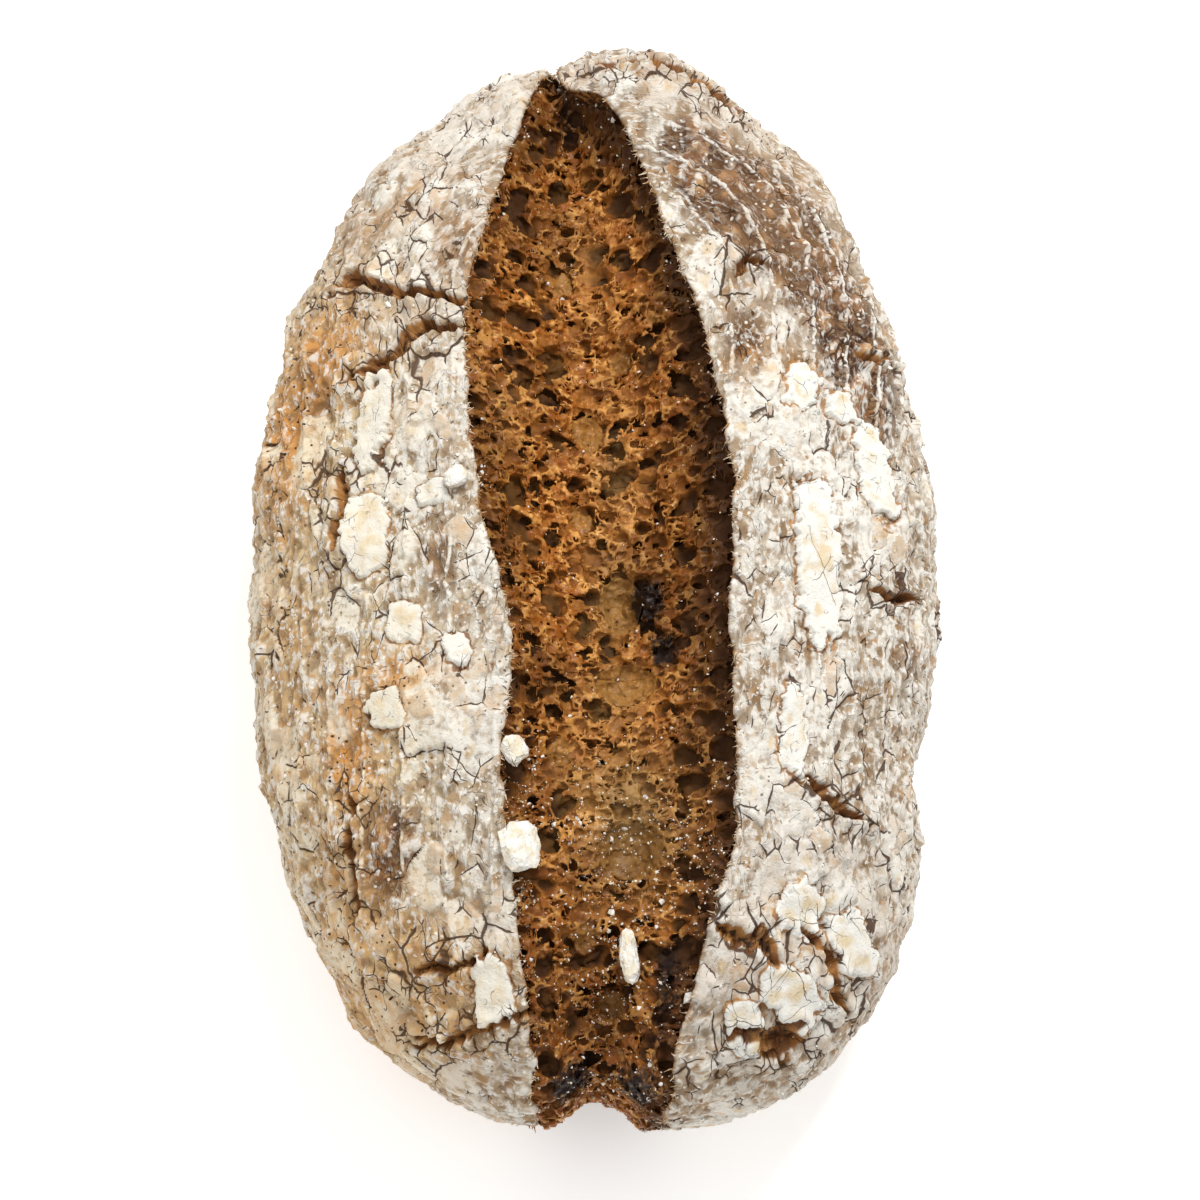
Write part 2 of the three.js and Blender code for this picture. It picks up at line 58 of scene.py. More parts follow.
# %% Adding and joining nodes
class Wires:
    """Adds nodes to a tree, sets their options and joins their sockets."""

    def __init__(self, tree):
        self.tree = tree
        self.shader = tree.bl_idname == "ShaderNodeTree"

    def add(self, kind, options=None, feeds=None):
        node = self.tree.nodes.new(kind)
        for name, value in (options or {}).items():
            setattr(node, name, value)
        for key, value in (feeds or {}).items():
            self.feed(node.inputs[key], value)
        return node

    def feed(self, socket, value):
        if isinstance(value, bpy.types.NodeSocket):
            self.tree.links.new(value, socket)
        else:
            socket.default_value = value

    def split(self, vector):
        """The three parts of a vector."""
        return self.add("ShaderNodeSeparateXYZ", None, {"Vector": vector}).outputs

    def joined(self, x=0.0, y=0.0, z=0.0):
        return self.add("ShaderNodeCombineXYZ", None, {0: x, 1: y, 2: z}).outputs[0]

    def attribute(self, name, vector=False):
        """A value that the mesh's corners carry."""
        if self.shader:
            node = self.add("ShaderNodeAttribute", {"attribute_name": name})
            return node.outputs["Vector" if vector else "Fac"]
        kind = "FLOAT_VECTOR" if vector else "FLOAT"
        node = self.add("GeometryNodeInputNamedAttribute", {"data_type": kind}, {"Name": name})
        return [s for s in node.outputs if s.enabled and s.name == "Attribute"][0]


# %% [markdown]
# The second class does sums. Each call adds one Math, Vector Math, Map Range or Mix node, so a long formula
# stays readable. Colours are written the way they look on screen, and Blender wants them linear.


# %% Sums with nodes
def colour(text):
    """A shader colour from the way it looks on screen, such as 'c9bda6'."""
    parts = [int(text[i:i + 2], 16) / 255 for i in (0, 2, 4)]
    return (*[p / 12.92 if p < 0.04045 else ((p + 0.055) / 1.055) ** 2.4 for p in parts], 1.0)


class Sums(Wires):
    """Arithmetic on numbers, vectors and colours."""

    def math(self, operation, *values, clamp=False):
        node = self.add("ShaderNodeMath", {"operation": operation, "use_clamp": clamp})
        for socket, value in zip(node.inputs, values):
            self.feed(socket, value)
        return node.outputs[0]

    def chain(self, operation, first, others):
        for other in others:
            first = self.math(operation, first, other)
        return first

    def total(self, first, *others):
        return self.chain("ADD", first, others)

    def times(self, first, *others):
        return self.chain("MULTIPLY", first, others)

    def most(self, first, *others):
        return self.chain("MAXIMUM", first, others)

    def least(self, first, *others):
        return self.chain("MINIMUM", first, others)

    def minus(self, first, second):
        return self.math("SUBTRACT", first, second)

    def vector(self, operation, *values):
        node = self.add("ShaderNodeVectorMath", {"operation": operation})
        sockets = [s for s in node.inputs if s.name == "Vector"]
        for socket, value in zip(sockets, values):
            self.feed(socket, value)
        return node.outputs[0]

    def scaled(self, vector, factor):
        node = self.add("ShaderNodeVectorMath", {"operation": "SCALE"}, {"Scale": factor})
        self.feed(node.inputs[0], vector)
        return node.outputs[0]

    def step(self, value, low, high, to_low=0.0, to_high=1.0):
        """A smooth step of value from low to high."""
        feeds = {"Value": value, "From Min": low, "From Max": high, "To Min": to_low, "To Max": to_high}
        return self.add("ShaderNodeMapRange", {"interpolation_type": "SMOOTHSTEP"}, feeds).outputs[0]

    def mixed(self, data_type, socket_type, factor, low, high):
        node = self.add("ShaderNodeMix", {"data_type": data_type}, {0: factor})
        ends = [s for s in node.inputs if s.type == socket_type][-2:]
        for socket, value in zip(ends, (low, high)):
            self.feed(socket, value)
        return [s for s in node.outputs if s.type == socket_type][0]

    def mix(self, factor, low, high):
        return self.mixed("FLOAT", "VALUE", factor, low, high)

    def tint(self, factor, low, high):
        return self.mixed("RGBA", "RGBA", factor, low, high)

    def painted(self, base, layers):
        """Lays colours over a base, one after another. A layer is how far it covers, and its colour."""
        for cover, paint in layers:
            base = self.tint(cover, base, colour(paint) if isinstance(paint, str) else paint)
        return base


# %% [markdown]
# The third class makes patterns: noise, places pushed about by noise, and Voronoi cells. Sizes are in
# millimetres, and each texture node is told its place, because a texture with nothing joined to its Vector
# slides.


# %% Patterns with nodes
class Patterns(Sums):
    """Noise and cells of a given size."""

    def per(self, size):
        """The texture scale for a size, which may be a number or a socket."""
        return self.math("DIVIDE", 1.0, size) if isinstance(size, bpy.types.NodeSocket) else 1.0 / size

    def noise(self, place, size, detail=2.0):
        """Noise near 0.5, with lumps of the given size; gives its value and a random vector."""
        feeds = {"Vector": place, "Scale": self.per(size), "Detail": detail}
        return self.add("ShaderNodeTexNoise", None, feeds).outputs

    def level(self, place, size, seed=0.0, detail=2.0):
        """Noise about zero, moved by a seed so that two of one size don't match."""
        return self.minus(self.noise(self.vector("ADD", place, (seed, 7.0, 3.0)), size, detail)[0], 0.5)

    def bent(self, place, size, by):
        """The place pushed about by noise, so that a pattern on it isn't straight."""
        push = self.vector("SUBTRACT", self.noise(place, size)[1], (0.5, 0.5, 0.5))
        return self.vector("ADD", place, self.scaled(push, 2.0 * by))

    def cells(self, place, size, feature="F1", soft=None):
        """Voronoi cells: how far the nearest seed or edge is, and a random colour for each cell."""
        feeds = {"Vector": place, "Scale": self.per(size)}
        if soft is not None:
            feeds["Smoothness"] = soft
        return self.add("ShaderNodeTexVoronoi", {"feature": feature}, feeds).outputs

    def edge_gap(self, place, size):
        """Millimetres to the nearest border between cells."""
        return self.times(self.cells(place, size, "DISTANCE_TO_EDGE")[0], size)

    def bump(self, strength, height):
        """A normal from a height in millimetres."""
        feeds = {"Strength": strength, "Distance": MM, "Height": height}
        return self.add("ShaderNodeBump", None, feeds).outputs[0]


print("node helpers:", Wires.__name__, Sums.__name__, Patterns.__name__)

# %% [markdown]
# A Geometry Nodes tree needs named inputs, and a modifier that uses it is filled in by each socket's
# identifier. The evaluated result becomes a plain mesh, and the modifier goes, so that nothing live is left
# on the piece.


# %% Geometry tree helper
def geometry_tree(name, inputs):
    """A new tree with the named inputs; gives the tree, its helper and the sockets of both ends."""
    tree = bpy.data.node_groups.new(name, "GeometryNodeTree")
    tree.interface.new_socket("Geometry", in_out="INPUT", socket_type="NodeSocketGeometry")
    for label, (kind, value) in inputs.items():
        socket = tree.interface.new_socket(label, in_out="INPUT", socket_type="NodeSocket" + kind)
        if value is not None:
            socket.default_value = value
    tree.interface.new_socket("Geometry", in_out="OUTPUT", socket_type="NodeSocketGeometry")
    w = Patterns(tree)
    return tree, w, w.add("NodeGroupInput").outputs, w.add("NodeGroupOutput").inputs


def finish_tree(w, geometry, material, out):
    """Every tree ends in real geometry with its material on it."""
    real = w.add("GeometryNodeRealizeInstances", None, {"Geometry": geometry})
    dressed = w.add("GeometryNodeSetMaterial", None, {"Geometry": real.outputs[0], "Material": material})
    w.feed(out["Geometry"], dressed.outputs[0])


def grown(source, tree, name, values):
    """Runs a tree on an object and gives the result as a new plain object; the source is removed."""
    modifier = source.modifiers.new("grow", "NODES")
    modifier.node_group = tree
    for item in tree.interface.items_tree:
        if item.item_type == "SOCKET" and item.in_out == "INPUT" and item.name in values:
            modifier[item.identifier] = values[item.name]
    evaluated = source.evaluated_get(bpy.context.evaluated_depsgraph_get())
    mesh = bpy.data.meshes.new_from_object(evaluated)
    source.modifiers.remove(modifier)
    bpy.data.objects.remove(source)
    return show(name, mesh)


def show(name, mesh):
    mesh.name = name
    piece = bpy.data.objects.new(name, mesh)
    bpy.context.scene.collection.objects.link(piece)
    return piece


# %% [markdown]
# Big meshes are fastest made from number arrays. A mesh here is its corners in millimetres, its
# four-cornered and three-cornered faces, and any values that its corners carry for the patterns.


# %% Mesh helper
def carry(mesh, values):
    """Puts values on a mesh's corners under their names: one number or three for each corner."""
    for label, numbers in values.items():
        numbers = np.asarray(numbers, dtype=np.float32)
        kind, field = ("FLOAT_VECTOR", "vector") if numbers.ndim == 2 else ("FLOAT", "value")
        mesh.attributes.new(label, kind, "POINT").data.foreach_set(field, numbers.ravel())


def mesh_of(name, corners, quads, triangles=(), carried=None):
    quads = np.asarray(quads, dtype=np.int32).reshape(-1, 4)
    triangles = np.asarray(triangles, dtype=np.int32).reshape(-1, 3)
    mesh = bpy.data.meshes.new(name)
    mesh.vertices.add(len(corners))
    mesh.vertices.foreach_set("co", (np.asarray(corners) * MM).astype(np.float32).ravel())
    loops = np.concatenate([quads.ravel(), triangles.ravel()])
    sizes = np.concatenate([np.full(len(quads), 4), np.full(len(triangles), 3)])
    if len(loops):
        mesh.loops.add(len(loops))
        mesh.loops.foreach_set("vertex_index", loops)
        mesh.polygons.add(len(sizes))
        mesh.polygons.foreach_set("loop_start", (np.cumsum(sizes) - sizes).astype(np.int32))
        mesh.polygons.foreach_set("use_smooth", np.ones(len(sizes), dtype=bool))
    carry(mesh, carried or {})
    mesh.update(calc_edges=True)
    mesh.validate()
    return mesh


def read_values(mesh, name):
    values = np.empty(len(mesh.vertices), dtype=np.float32)
    mesh.attributes[name].data.foreach_get("value", values)
    return values


def read_vectors(mesh, kind):
    values = np.empty(len(mesh.vertices) * 3, dtype=np.float32)
    mesh.vertices.foreach_get(kind, values)
    return values.reshape(-1, 3).astype(float)


def triangle_count(piece):
    return sum(len(face.vertices) - 2 for face in piece.data.polygons)


# %% [markdown]
# Two more tools work on plain arrays. The first tells whether a closed mesh faces outwards. The second is
# smooth noise that needs no node, for what the mesh itself must know, such as how a torn edge wanders.


# %% Tools for arrays
def enclosed(corners, quads, triangles):
    """Volume inside the faces, which is negative where they face inwards."""
    faces = np.concatenate([quads[:, [0, 1, 2]], quads[:, [0, 2, 3]], triangles])
    one, two, three = (corners[faces[:, i]] for i in range(3))
    return float(np.einsum("ij,ij->i", one, np.cross(two, three)).sum() / 6)


def lumps(place, size, seed):
    """Smooth random values between -1 and 1, one row of place each, with lumps of the given size."""
    cell = np.asarray(place) / size + 500.0 + 13.7 * seed
    low = np.floor(cell).astype(np.int64)
    part = cell - low
    part = part * part * (3 - 2 * part)
    value = np.zeros(len(cell))
    for corner in itertools.product((0, 1), repeat=3):
        at = low + np.array(corner)
        draw = (at[:, 0] * 73856093) ^ (at[:, 1] * 19349663) ^ (at[:, 2] * 83492791)
        draw = (draw & 0xFFFFFFFF) * 2246822519 & 0xFFFFFFFF
        draw = (draw ^ (draw >> 13)) * 3266489917 & 0xFFFFFFFF
        weight = np.prod(np.where(corner, part, 1 - part), axis=1)
        value += weight * ((draw ^ (draw >> 16)) / 2 ** 31 - 1)
    return value


print("noise at the middle:", lumps(np.zeros((1, 3)), 1.0, 1).round(3))

# %% [markdown]
# ## The loaf's skin
# The CAD loaf follows a rule: a flattened superellipsoid with its own squareness in each quarter, soft
# swellings, and a burst whose two edges run over the loaf from the far end to the near end. A station is a
# place on that way in degrees: 0 is the far end, 90 the crown and 180 the near end. Here the same rule is
# written for whole arrays, so that the fine meshes lie where the CAD solid lies. All lengths are in
# millimetres.

# %% Driving dimensions
HALF_LENGTH = 132.5
HALF_WIDTH = {-1: 79.0, 1: 80.0}
BULGE_HEIGHT = 38.0
CROWN_RISE = 48.0
BELLY_DROP = 48.0
BASE_ROUNDING = 3.0
PLAN_SQUARENESS = {(-1, -1): 2.4, (-1, 1): 2.05, (1, -1): 3.0, (1, 1): 2.0}
CROWN_SQUARENESS = 2.3
BELLY_SQUARENESS = 3.0
LEFT_EDGE = [(-70, 3), (-12, -8), (20, -12), (37, -14.8), (49, -22.4), (62, -28.2), (73, -30), (82, -28.6),
             (92, -24.8), (101, -19.5), (107, -18.6), (117, -21), (127, -19.3), (137, -17), (150, -14.4),
             (178, -13.6), (215, -12), (240, 3)]
RIGHT_EDGE = [(-70, -3), (-12, -7), (20, -8), (35, -5.5), (39, 2.4), (49, 12.5), (58, 18.2), (68, 25),
              (78, 29.9), (92, 33), (103, 31.8), (116, 33.6), (126, 32.6), (135, 28), (143, 23.6),
              (154, 19.7), (178, 17.6), (215, 15), (240, -3)]
EDGES = {-1: LEFT_EDGE, 1: RIGHT_EDGE}
VALLEY_DEPTH = [(-70, 2), (0, 4), (30, 9), (48, 15), (70, 19), (92, 20), (108, 17), (125, 13), (145, 11),
                (165, 8), (185, 6.5), (215, 4), (240, 2)]
VALLEY_SHARE = [(-70, 1), (130, 1), (160, 0.62), (240, 0.6)]
VALLEY_ROUNDING = 1.7
LIP_LEFT = [(-70, 3), (20, 2.6), (90, 3), (140, 2.6), (165, 1), (215, 0.8), (240, 3)]
LIP_RIGHT = [(-70, 3), (20, 3.4), (90, 4.4), (140, 3.4), (165, 1), (215, 0.8), (240, 3)]
# Swellings and dents: centre, reach, rise.
SWELLINGS = [((14, 112, 66), (15, 13, 16), 6.5), ((-16, 112, 62), (9, 10, 12), 2.5),
             ((-22, 126, 44), (26, 22, 40), -5), ((80, -50, 34), (22, 13, 34), -6),
             ((46, -104, 50), (20, 14, 24), 2.2), ((37, 0, 86), (9, 92, 16), 2.6),
             ((-32, 36, 86), (7, 52, 14), 1.4), ((-58, -76, 60), (20, 26, 26), -1.6)]
WAVE_HEIGHT = 0.7
WAVE_LENGTHS = (61.0, 43.0, 37.0)
print("loaf:", round(HALF_WIDTH[-1] + HALF_WIDTH[1]), "x", round(2 * HALF_LENGTH), "mm")

# %% [markdown]
# Some of these sizes change along the loaf, such as the burst's edges and the depth of its valley. They are
# listed at a few stations, and a smooth curve runs through them. The directions come from a cube blown up
# into a ball.


# %% Curves along the loaf, and directions
def profile(pairs, station):
    """Smooth curve through (station, value) pairs, flat at both ends."""
    at, value = np.array(pairs, dtype=float).T
    slope = np.zeros(len(at))
    slope[1:-1] = (value[2:] - value[:-2]) / (at[2:] - at[:-2])
    where = np.clip(station, at[0], at[-1])
    i = np.clip(np.searchsorted(at, where, side="right") - 1, 0, len(at) - 2)
    span = at[i + 1] - at[i]
    t = (where - at[i]) / span
    pull = span * (slope[i] * t * (1 - t) ** 2 - slope[i + 1] * t * t * (1 - t))
    return value[i] + (value[i + 1] - value[i]) * t * t * (3 - 2 * t) + pull


def cube_to_sphere(a, b, c):
    return np.stack([
        a * np.sqrt(1 - b * b / 2 - c * c / 2 + b * b * c * c / 3),
        b * np.sqrt(1 - a * a / 2 - c * c / 2 + a * a * c * c / 3),
        c * np.sqrt(1 - a * a / 2 - b * b / 2 + a * a * b * b / 3)], axis=1)


def ahead(station):
    """Directions in the loaf's middle plane, one for each station."""
    turn = np.radians(station)
    return np.stack([np.zeros(len(turn)), np.cos(turn), np.sin(turn)], axis=1)


def station_of(direction):
    degrees = np.degrees(np.arctan2(direction[:, 2], direction[:, 1]))
    return np.where(degrees < -90, degrees + 360, degrees)


print("middle of the valley lies", profile(VALLEY_DEPTH, np.array([90.0]))[0], "mm deep")

# %% [markdown]
# A direction meets the skin where the superellipsoid says. Then the swellings and a slow wave lift it, and
# whatever would sink below the table is pressed flat with a soft rounding, as dough is by its own weight.


# %% The skin's points
def half_width(x):
    return np.where(x < 0, HALF_WIDTH[-1], HALF_WIDTH[1])


def skin_reach(direction):
    """How far the skin lies along a direction given in units of the loaf's half sizes."""
    x, y, z = direction.T
    plan = np.where(x < 0, np.where(y < 0, PLAN_SQUARENESS[-1, -1], PLAN_SQUARENESS[-1, 1]),
                    np.where(y < 0, PLAN_SQUARENESS[1, -1], PLAN_SQUARENESS[1, 1]))
    section = np.where(z > 0, CROWN_SQUARENESS, BELLY_SQUARENESS)
    flat = np.abs(x) ** plan + np.abs(y) ** plan
    return (flat ** (section / plan) + np.abs(z) ** section) ** (-1 / section)


def skin_rise(point):
    """How far swellings and waves lift the skin."""
    rise = np.zeros(len(point))
    for centre, reach, lift in SWELLINGS:
        rise += lift * np.exp(-(((point - centre) / reach) ** 2).sum(axis=1))
    long, middle, short = WAVE_LENGTHS
    x, y, z = point.T * 2 * np.pi
    wave = np.sin(y / long + x / short)
    wave += np.sin(x / middle - z / short + 2)
    wave += np.sin(y / short + z / middle + 4)
    return rise + WAVE_HEIGHT * wave / 1.5


def skin_point(direction, depth=0.0):
    """Skin points for directions, pushed in by a depth, and the way out of the loaf there."""
    size = np.stack([half_width(direction[:, 0]), np.full(len(direction), HALF_LENGTH),
                     np.where(direction[:, 2] > 0, CROWN_RISE, BELLY_DROP)], axis=1)
    point = direction * skin_reach(direction)[:, None] * size
    outward = point / size ** 2
    outward /= np.linalg.norm(outward, axis=1)[:, None]
    point[:, 2] += BULGE_HEIGHT
    point = point + outward * (skin_rise(point) - depth)[:, None]
    low = point[:, 2]
    soft = np.clip(low + BASE_ROUNDING, 0, None) ** 2 / (4 * BASE_ROUNDING)
    point[:, 2] = np.where(low > BASE_ROUNDING, low, soft)
    return point, outward


print("crown of the plain skin:", skin_point(ahead([90.0]))[0].round(1)[0].tolist(), "mm")

# %% [markdown]
# The edges of the burst are given as sideways places in millimetres, so a direction must be tilted until
# its skin point stands there. Three rounds of correction are enough. The crumb's valley is a depth under
# the same skin.


# %% Tilting a direction, and the valley
TILT_ROUNDS = 3


def tilted(direction, tilt):
    """The same directions with another sideways part."""
    flat = np.hypot(direction[:, 1], direction[:, 2])
    shrink = np.sqrt(np.clip(1 - tilt * tilt, 0, None)) / np.where(flat > 0, flat, 1)
    return np.stack([tilt, direction[:, 1] * shrink, direction[:, 2] * shrink], axis=1)


def tilt_to(direction, x):
    """Sideways part at which each direction's skin point stands at x."""
    width = half_width(x)
    tilt = x / width
    for _ in range(TILT_ROUNDS):
        tilt = x / (width * skin_reach(tilted(direction, tilt)))
    return tilt


def across_burst(station, x):
    """Half the burst's width, and where x lies in it: -1 at the left edge, 1 at the right."""
    left, right = profile(LEFT_EDGE, station), profile(RIGHT_EDGE, station)
    half = np.maximum((right - left) / 2, 1)
    return half, (x - (left + right) / 2) / half


def crumb_depth(station, x):
    """Depth of the crumb's valley under the skin."""
    half, across = across_burst(station, x)
    side = np.clip(across / 2 + 0.5, 0, 1)
    lip = profile(LIP_LEFT, station) * (1 - side) + profile(LIP_RIGHT, station) * side
    floor = np.minimum(1, np.minimum(np.abs(across), 1) / profile(VALLEY_SHARE, station))
    return lip + profile(VALLEY_DEPTH, station) * (1 - floor ** VALLEY_ROUNDING) * np.minimum(1, half / 8)


print("burst is", 2 * across_burst(np.array([90.0]), 0.0)[0].round(1)[0], "mm wide at the crown")

# %% [markdown]
# ## What the crust carries
# The patterns need to know where they are: how far below the crown (for the cane's print), how near the
# torn lip, how near a slab of caked flour or a deep crack. These are plain distances, worked out once for
# each corner of the mesh. The slabs and cracks have the places and sizes of the CAD loaf's.

# %% Slabs of caked flour and deep cracks
# Slabs: centre x, y, length along the loaf, width, turn in degrees.
SLABS = [(51, -12, 38, 9.5, 4), (48, 30, 12, 7, -20), (57, 27, 8, 6, 30), (65, 13, 24, 8, 12),
         (45, -54, 18, 6, 0), (46, -92, 12, 9, -30), (58, -98, 13, 10, 25), (44, -110, 13, 10, 60),
         (34, -117, 9, 8, 10), (-50, 22, 22, 7, -8), (-51, -6, 19, 10, 5), (-36, 2, 6, 7, 20),
         (-42, -28, 9, 7, 0), (-46, -48, 10, 8, 30), (-30, -36, 8, 6, 10), (-22, -110, 14, 9, 5)]
# Cracks: width, then points x, y seen from above.
CRACKS = [(3.0, (-62, 58), (-52, 60), (-42, 54), (-31, 50)),
          (3.2, (-56, 35), (-47, 38), (-38, 43), (-31, 44)),
          (1.8, (-57, 12), (-58, 2), (-57, -9)), (1.8, (-55, -66), (-52, -80), (-53, -93)),
          (2.2, (-40, -104), (-31, -104), (-22, -101)),
          (1.5, (-39, -118), (-31, -119), (-25, -117), (-14, -116)),
          (2.8, (64, -15), (70, -17), (76, -15)), (2.4, (46, -62), (54, -69), (63, -73)),
          (2.0, (40, 60), (36, 62), (31, 57)), (2.2, (60, 45), (66, 42), (70, 44)),
          (3.2, (46, -96), (53, -103), (56, -111)), (3.6, (28, -96), (36, -99), (40, -106)),
          (2.8, (30, -120), (40, -120), (48, -116)), (2.4, (2, 117), (14, 116), (26, 112), (34, 106))]
print(len(SLABS), "slabs and", len(CRACKS), "deep cracks")

# %% [markdown]
# The coat isn't one colour. Where the flour has rubbed off the crust is brown, near the fire it is toasted
# tan, and thick flour stays white. Each tone is a few soft spots on the loaf, seen from above, that the
# colours are mixed by.

# %% Tones of the crust
# Each spot: centre x, y, reach across and along, strength.
TONES = {
    "brown": [(32, 82, 11, 12, 1.0), (46, 70, 10, 16, 0.9), (58, 48, 8, 18, 0.7), (23, 94, 8, 8, 0.7),
              (35, 40, 5, 8, 0.6), (-45, -79, 8, 14, 0.6), (-30, 66, 8, 14, 0.4), (66, 30, 8, 18, 0.45),
              (-64, 34, 8, 16, 0.45), (-34, -16, 6, 16, 0.35), (72, -30, 6, 16, 0.3)],
    "tan": [(-72, 26, 7, 18, 1.0), (-60, 44, 9, 14, 0.9), (-54, -55, 7, 14, 1.0), (-42, -41, 9, 7, 0.8),
            (-38, -108, 16, 14, 0.55), (-56, -92, 10, 22, 0.5), (-70, -30, 8, 40, 0.4), (40, 34, 8, 8, 0.3)],
    "ochre": [(-58, 10, 26, 90, 0.4), (-54, -86, 20, 34, 0.8), (-38, -112, 20, 14, 0.9),
              (-72, -20, 9, 60, 0.6), (-62, 38, 14, 30, 0.6), (-46, -40, 10, 26, 0.4)],
    "white": [(44, -44, 12, 50, 0.5), (52, -96, 26, 30, 0.8), (68, -9, 10, 40, 0.5), (-48, 8, 10, 28, 0.8),
              (-38, 85, 14, 20, 0.7), (-45, 60, 16, 14, 0.4), (52, 20, 12, 18, 0.6), (10, 116, 26, 10, 0.8)],
    # Where the dough itself stands in rounded lumps.
    "lump": [(-46, 72, 24, 28, 1.0), (8, 118, 34, 14, 1.0), (48, -104, 26, 24, 0.8), (-36, -112, 24, 18, 0.6),
             (44, 78, 16, 26, 0.5)]}


def tone(place, spots):
    """Sum of soft spots, from 0 to 1."""
    value = np.zeros(len(place))
    for x, y, across, along, strength in spots:
        value += strength * np.exp(-((place[:, 0] - x) / across) ** 2 - ((place[:, 1] - y) / along) ** 2)
    return np.clip(value, 0, 1)


print("tones:", {name: len(spots) for name, spots in TONES.items()})

# %% [markdown]
# A slab is a rounded rectangle and a crack is a bent line that narrows to both ends. Both live on the upper
# half of the loaf only. The cracks' places are pushed about by noise first, so that they wander like real
# ones.

# %% Distances to slabs and cracks
FAR_OFF = 9.0                            # beyond this many millimetres a distance no longer matters
CRACK_WANDER = [(2.6, 9.0, 0), (1.1, 3.2, 5)]        # how far, how long, seed
CRACK_SEEDS = (11, 12)


def slab_edge(place):
    """How far inside the nearest slab's outline a place is; negative outside."""
    best = np.full(len(place), -FAR_OFF)
    for x, y, length, width, turn in SLABS:
        angle = math.radians(turn)
        dx, dy = place[:, 0] - x, place[:, 1] - y
        u = np.abs(dx * math.cos(angle) + dy * math.sin(angle)) / (width / 2)
        v = np.abs(-dx * math.sin(angle) + dy * math.cos(angle)) / (length / 2)
        best = np.maximum(best, (1 - (u ** 3 + v ** 3) ** (1 / 3)) * width / 2)
    return np.where(place[:, 2] > BULGE_HEIGHT, best, -FAR_OFF)


def crack_gap(place):
    """Distance from the nearest deep crack's walls; negative inside the crack."""
    best = np.full(len(place), FAR_OFF)
    wander = [sum(far * lumps(place, size, seed + more) for far, size, more in CRACK_WANDER)
              for seed in CRACK_SEEDS]
    place = place + np.stack([*wander, np.zeros(len(place))], axis=1)
    for width, *path in CRACKS:
        start, end = np.array(path[0]), np.array(path[-1])
        length = np.linalg.norm(end - start)
        for one, two in zip(path, path[1:]):
            one, two = np.array(one, dtype=float), np.array(two, dtype=float)
            along = np.clip((place[:, :2] - one) @ (two - one) / ((two - one) @ (two - one)), 0, 1)
            nearest = one + along[:, None] * (two - one)
            away = np.linalg.norm(place[:, :2] - nearest, axis=1)
            middle = np.linalg.norm(nearest - (start + end) / 2, axis=1) / (length / 2)
            best = np.minimum(best, away - width / 2 * np.clip(1.25 - middle ** 2, 0.1, 1))
    return np.where(place[:, 2] > BULGE_HEIGHT, best, FAR_OFF)


# %% [markdown]
# The basket's cane is coiled in long ovals: two straight sides and two round ends. The print's ridges
# follow those ovals, so we unroll the skin: one number for the way down from the crown, one for the way
# round.

# %% The basket's print, unrolled
CANE_PITCH = 9.0
STRAIGHT_NEAR, STRAIGHT_FAR = 92.0, 52.5
DOME_ARC = 103.0                         # from the crown down to the widest part, over the skin
SIDE_APART = 50.0                        # keeps the patterns of the two sides from being mirror images


def past_straight(place):
    """How far a place is past the straight middle of the basket, and how long that middle is."""
    straight = np.where(place[:, 1] < 0, STRAIGHT_NEAR, STRAIGHT_FAR)
    return np.clip(np.abs(place[:, 1]) - straight, 0, None), straight


def cane_distance(place):
    """Way down the skin from the crown, at right angles to the basket's oval rings."""
    out = np.hypot(place[:, 0], past_straight(place)[0])
    dome = np.arcsin(np.clip(out / HALF_WIDTH[1], 0, 1)) / (np.pi / 2) * DOME_ARC
    return np.where(place[:, 2] > BULGE_HEIGHT, dome, DOME_ARC + (BULGE_HEIGHT - place[:, 2]))


def unrolled(place):
    """A second place for each corner: way down from the crown, way round the loaf, and side."""
    past, straight = past_straight(place)
    turn = np.arctan2(past, np.abs(place[:, 0]))
    way = np.clip(np.abs(place[:, 1]), 0, straight) + turn * np.hypot(place[:, 0], past)
    side = SIDE_APART * np.sign(place[:, 0])
    return np.stack([cane_distance(place), np.sign(place[:, 1]) * way, side], axis=1)


print("cane rings from crown to base:", math.floor((DOME_ARC + BULGE_HEIGHT) / CANE_PITCH))

# %% [markdown]
# ## The crust's mesh
# Each quarter of the crust is a sheet over three faces of a cube: the top, the flank and the end. The cube
# is blown up into the loaf, which spreads its squares evenly. At the burst the sheet rolls over into a
# thin, ragged lip and runs on under the crumb, so that the shell is closed. First come the places: the
# sheet starts at the torn edge.


# %% Places on the crust
RAGS = [(1.0, 11.0, 1), (0.6, 4.2, 2), (0.4, 1.7, 3), (0.25, 0.8, 5)]         # how far, how long, seed
STATION_LENGTH = 2.05                    # millimetres over the crown for each degree


def ragged(station, side):
    """The torn lip wanders by a millimetre or so."""
    none = np.zeros(len(station))
    way = np.stack([station * STATION_LENGTH, none + 40.0 * side, none], axis=1)
    open_part = np.clip((station - 25) / 20, 0.25, 1)
    return open_part * sum(reach * lumps(way, size, seed) for reach, size, seed in RAGS)


def crust_place(side, a, b, c):
    """Skin points for cube places: a from the lip (0) to the flank (1), b along, c up."""
    direction = cube_to_sphere(side * a, b, c)
    station = station_of(direction)
    edge = profile(EDGES[side], station) + ragged(station, side)
    opened = tilt_to(direction, edge)
    turned = tilted(direction, opened + (1 - side * opened) * direction[:, 0])
    point, outward = skin_point(turned)
    return point, outward, np.abs(point[:, 0] - edge)


# %% [markdown]
# The three faces of the cube share the corners on their common edges. Each corner gets one number from its
# place in the cube, so that shared corners are found, and the open rim is walked once round: lip, base,
# inner end.


# %% The sheet's corners, faces and rim
ACROSS, ALONG, UP = 104, 232, 170        # cells of the sheet
LIP, BASE, CUT = 0, 1, 2                 # what a part of the rim borders


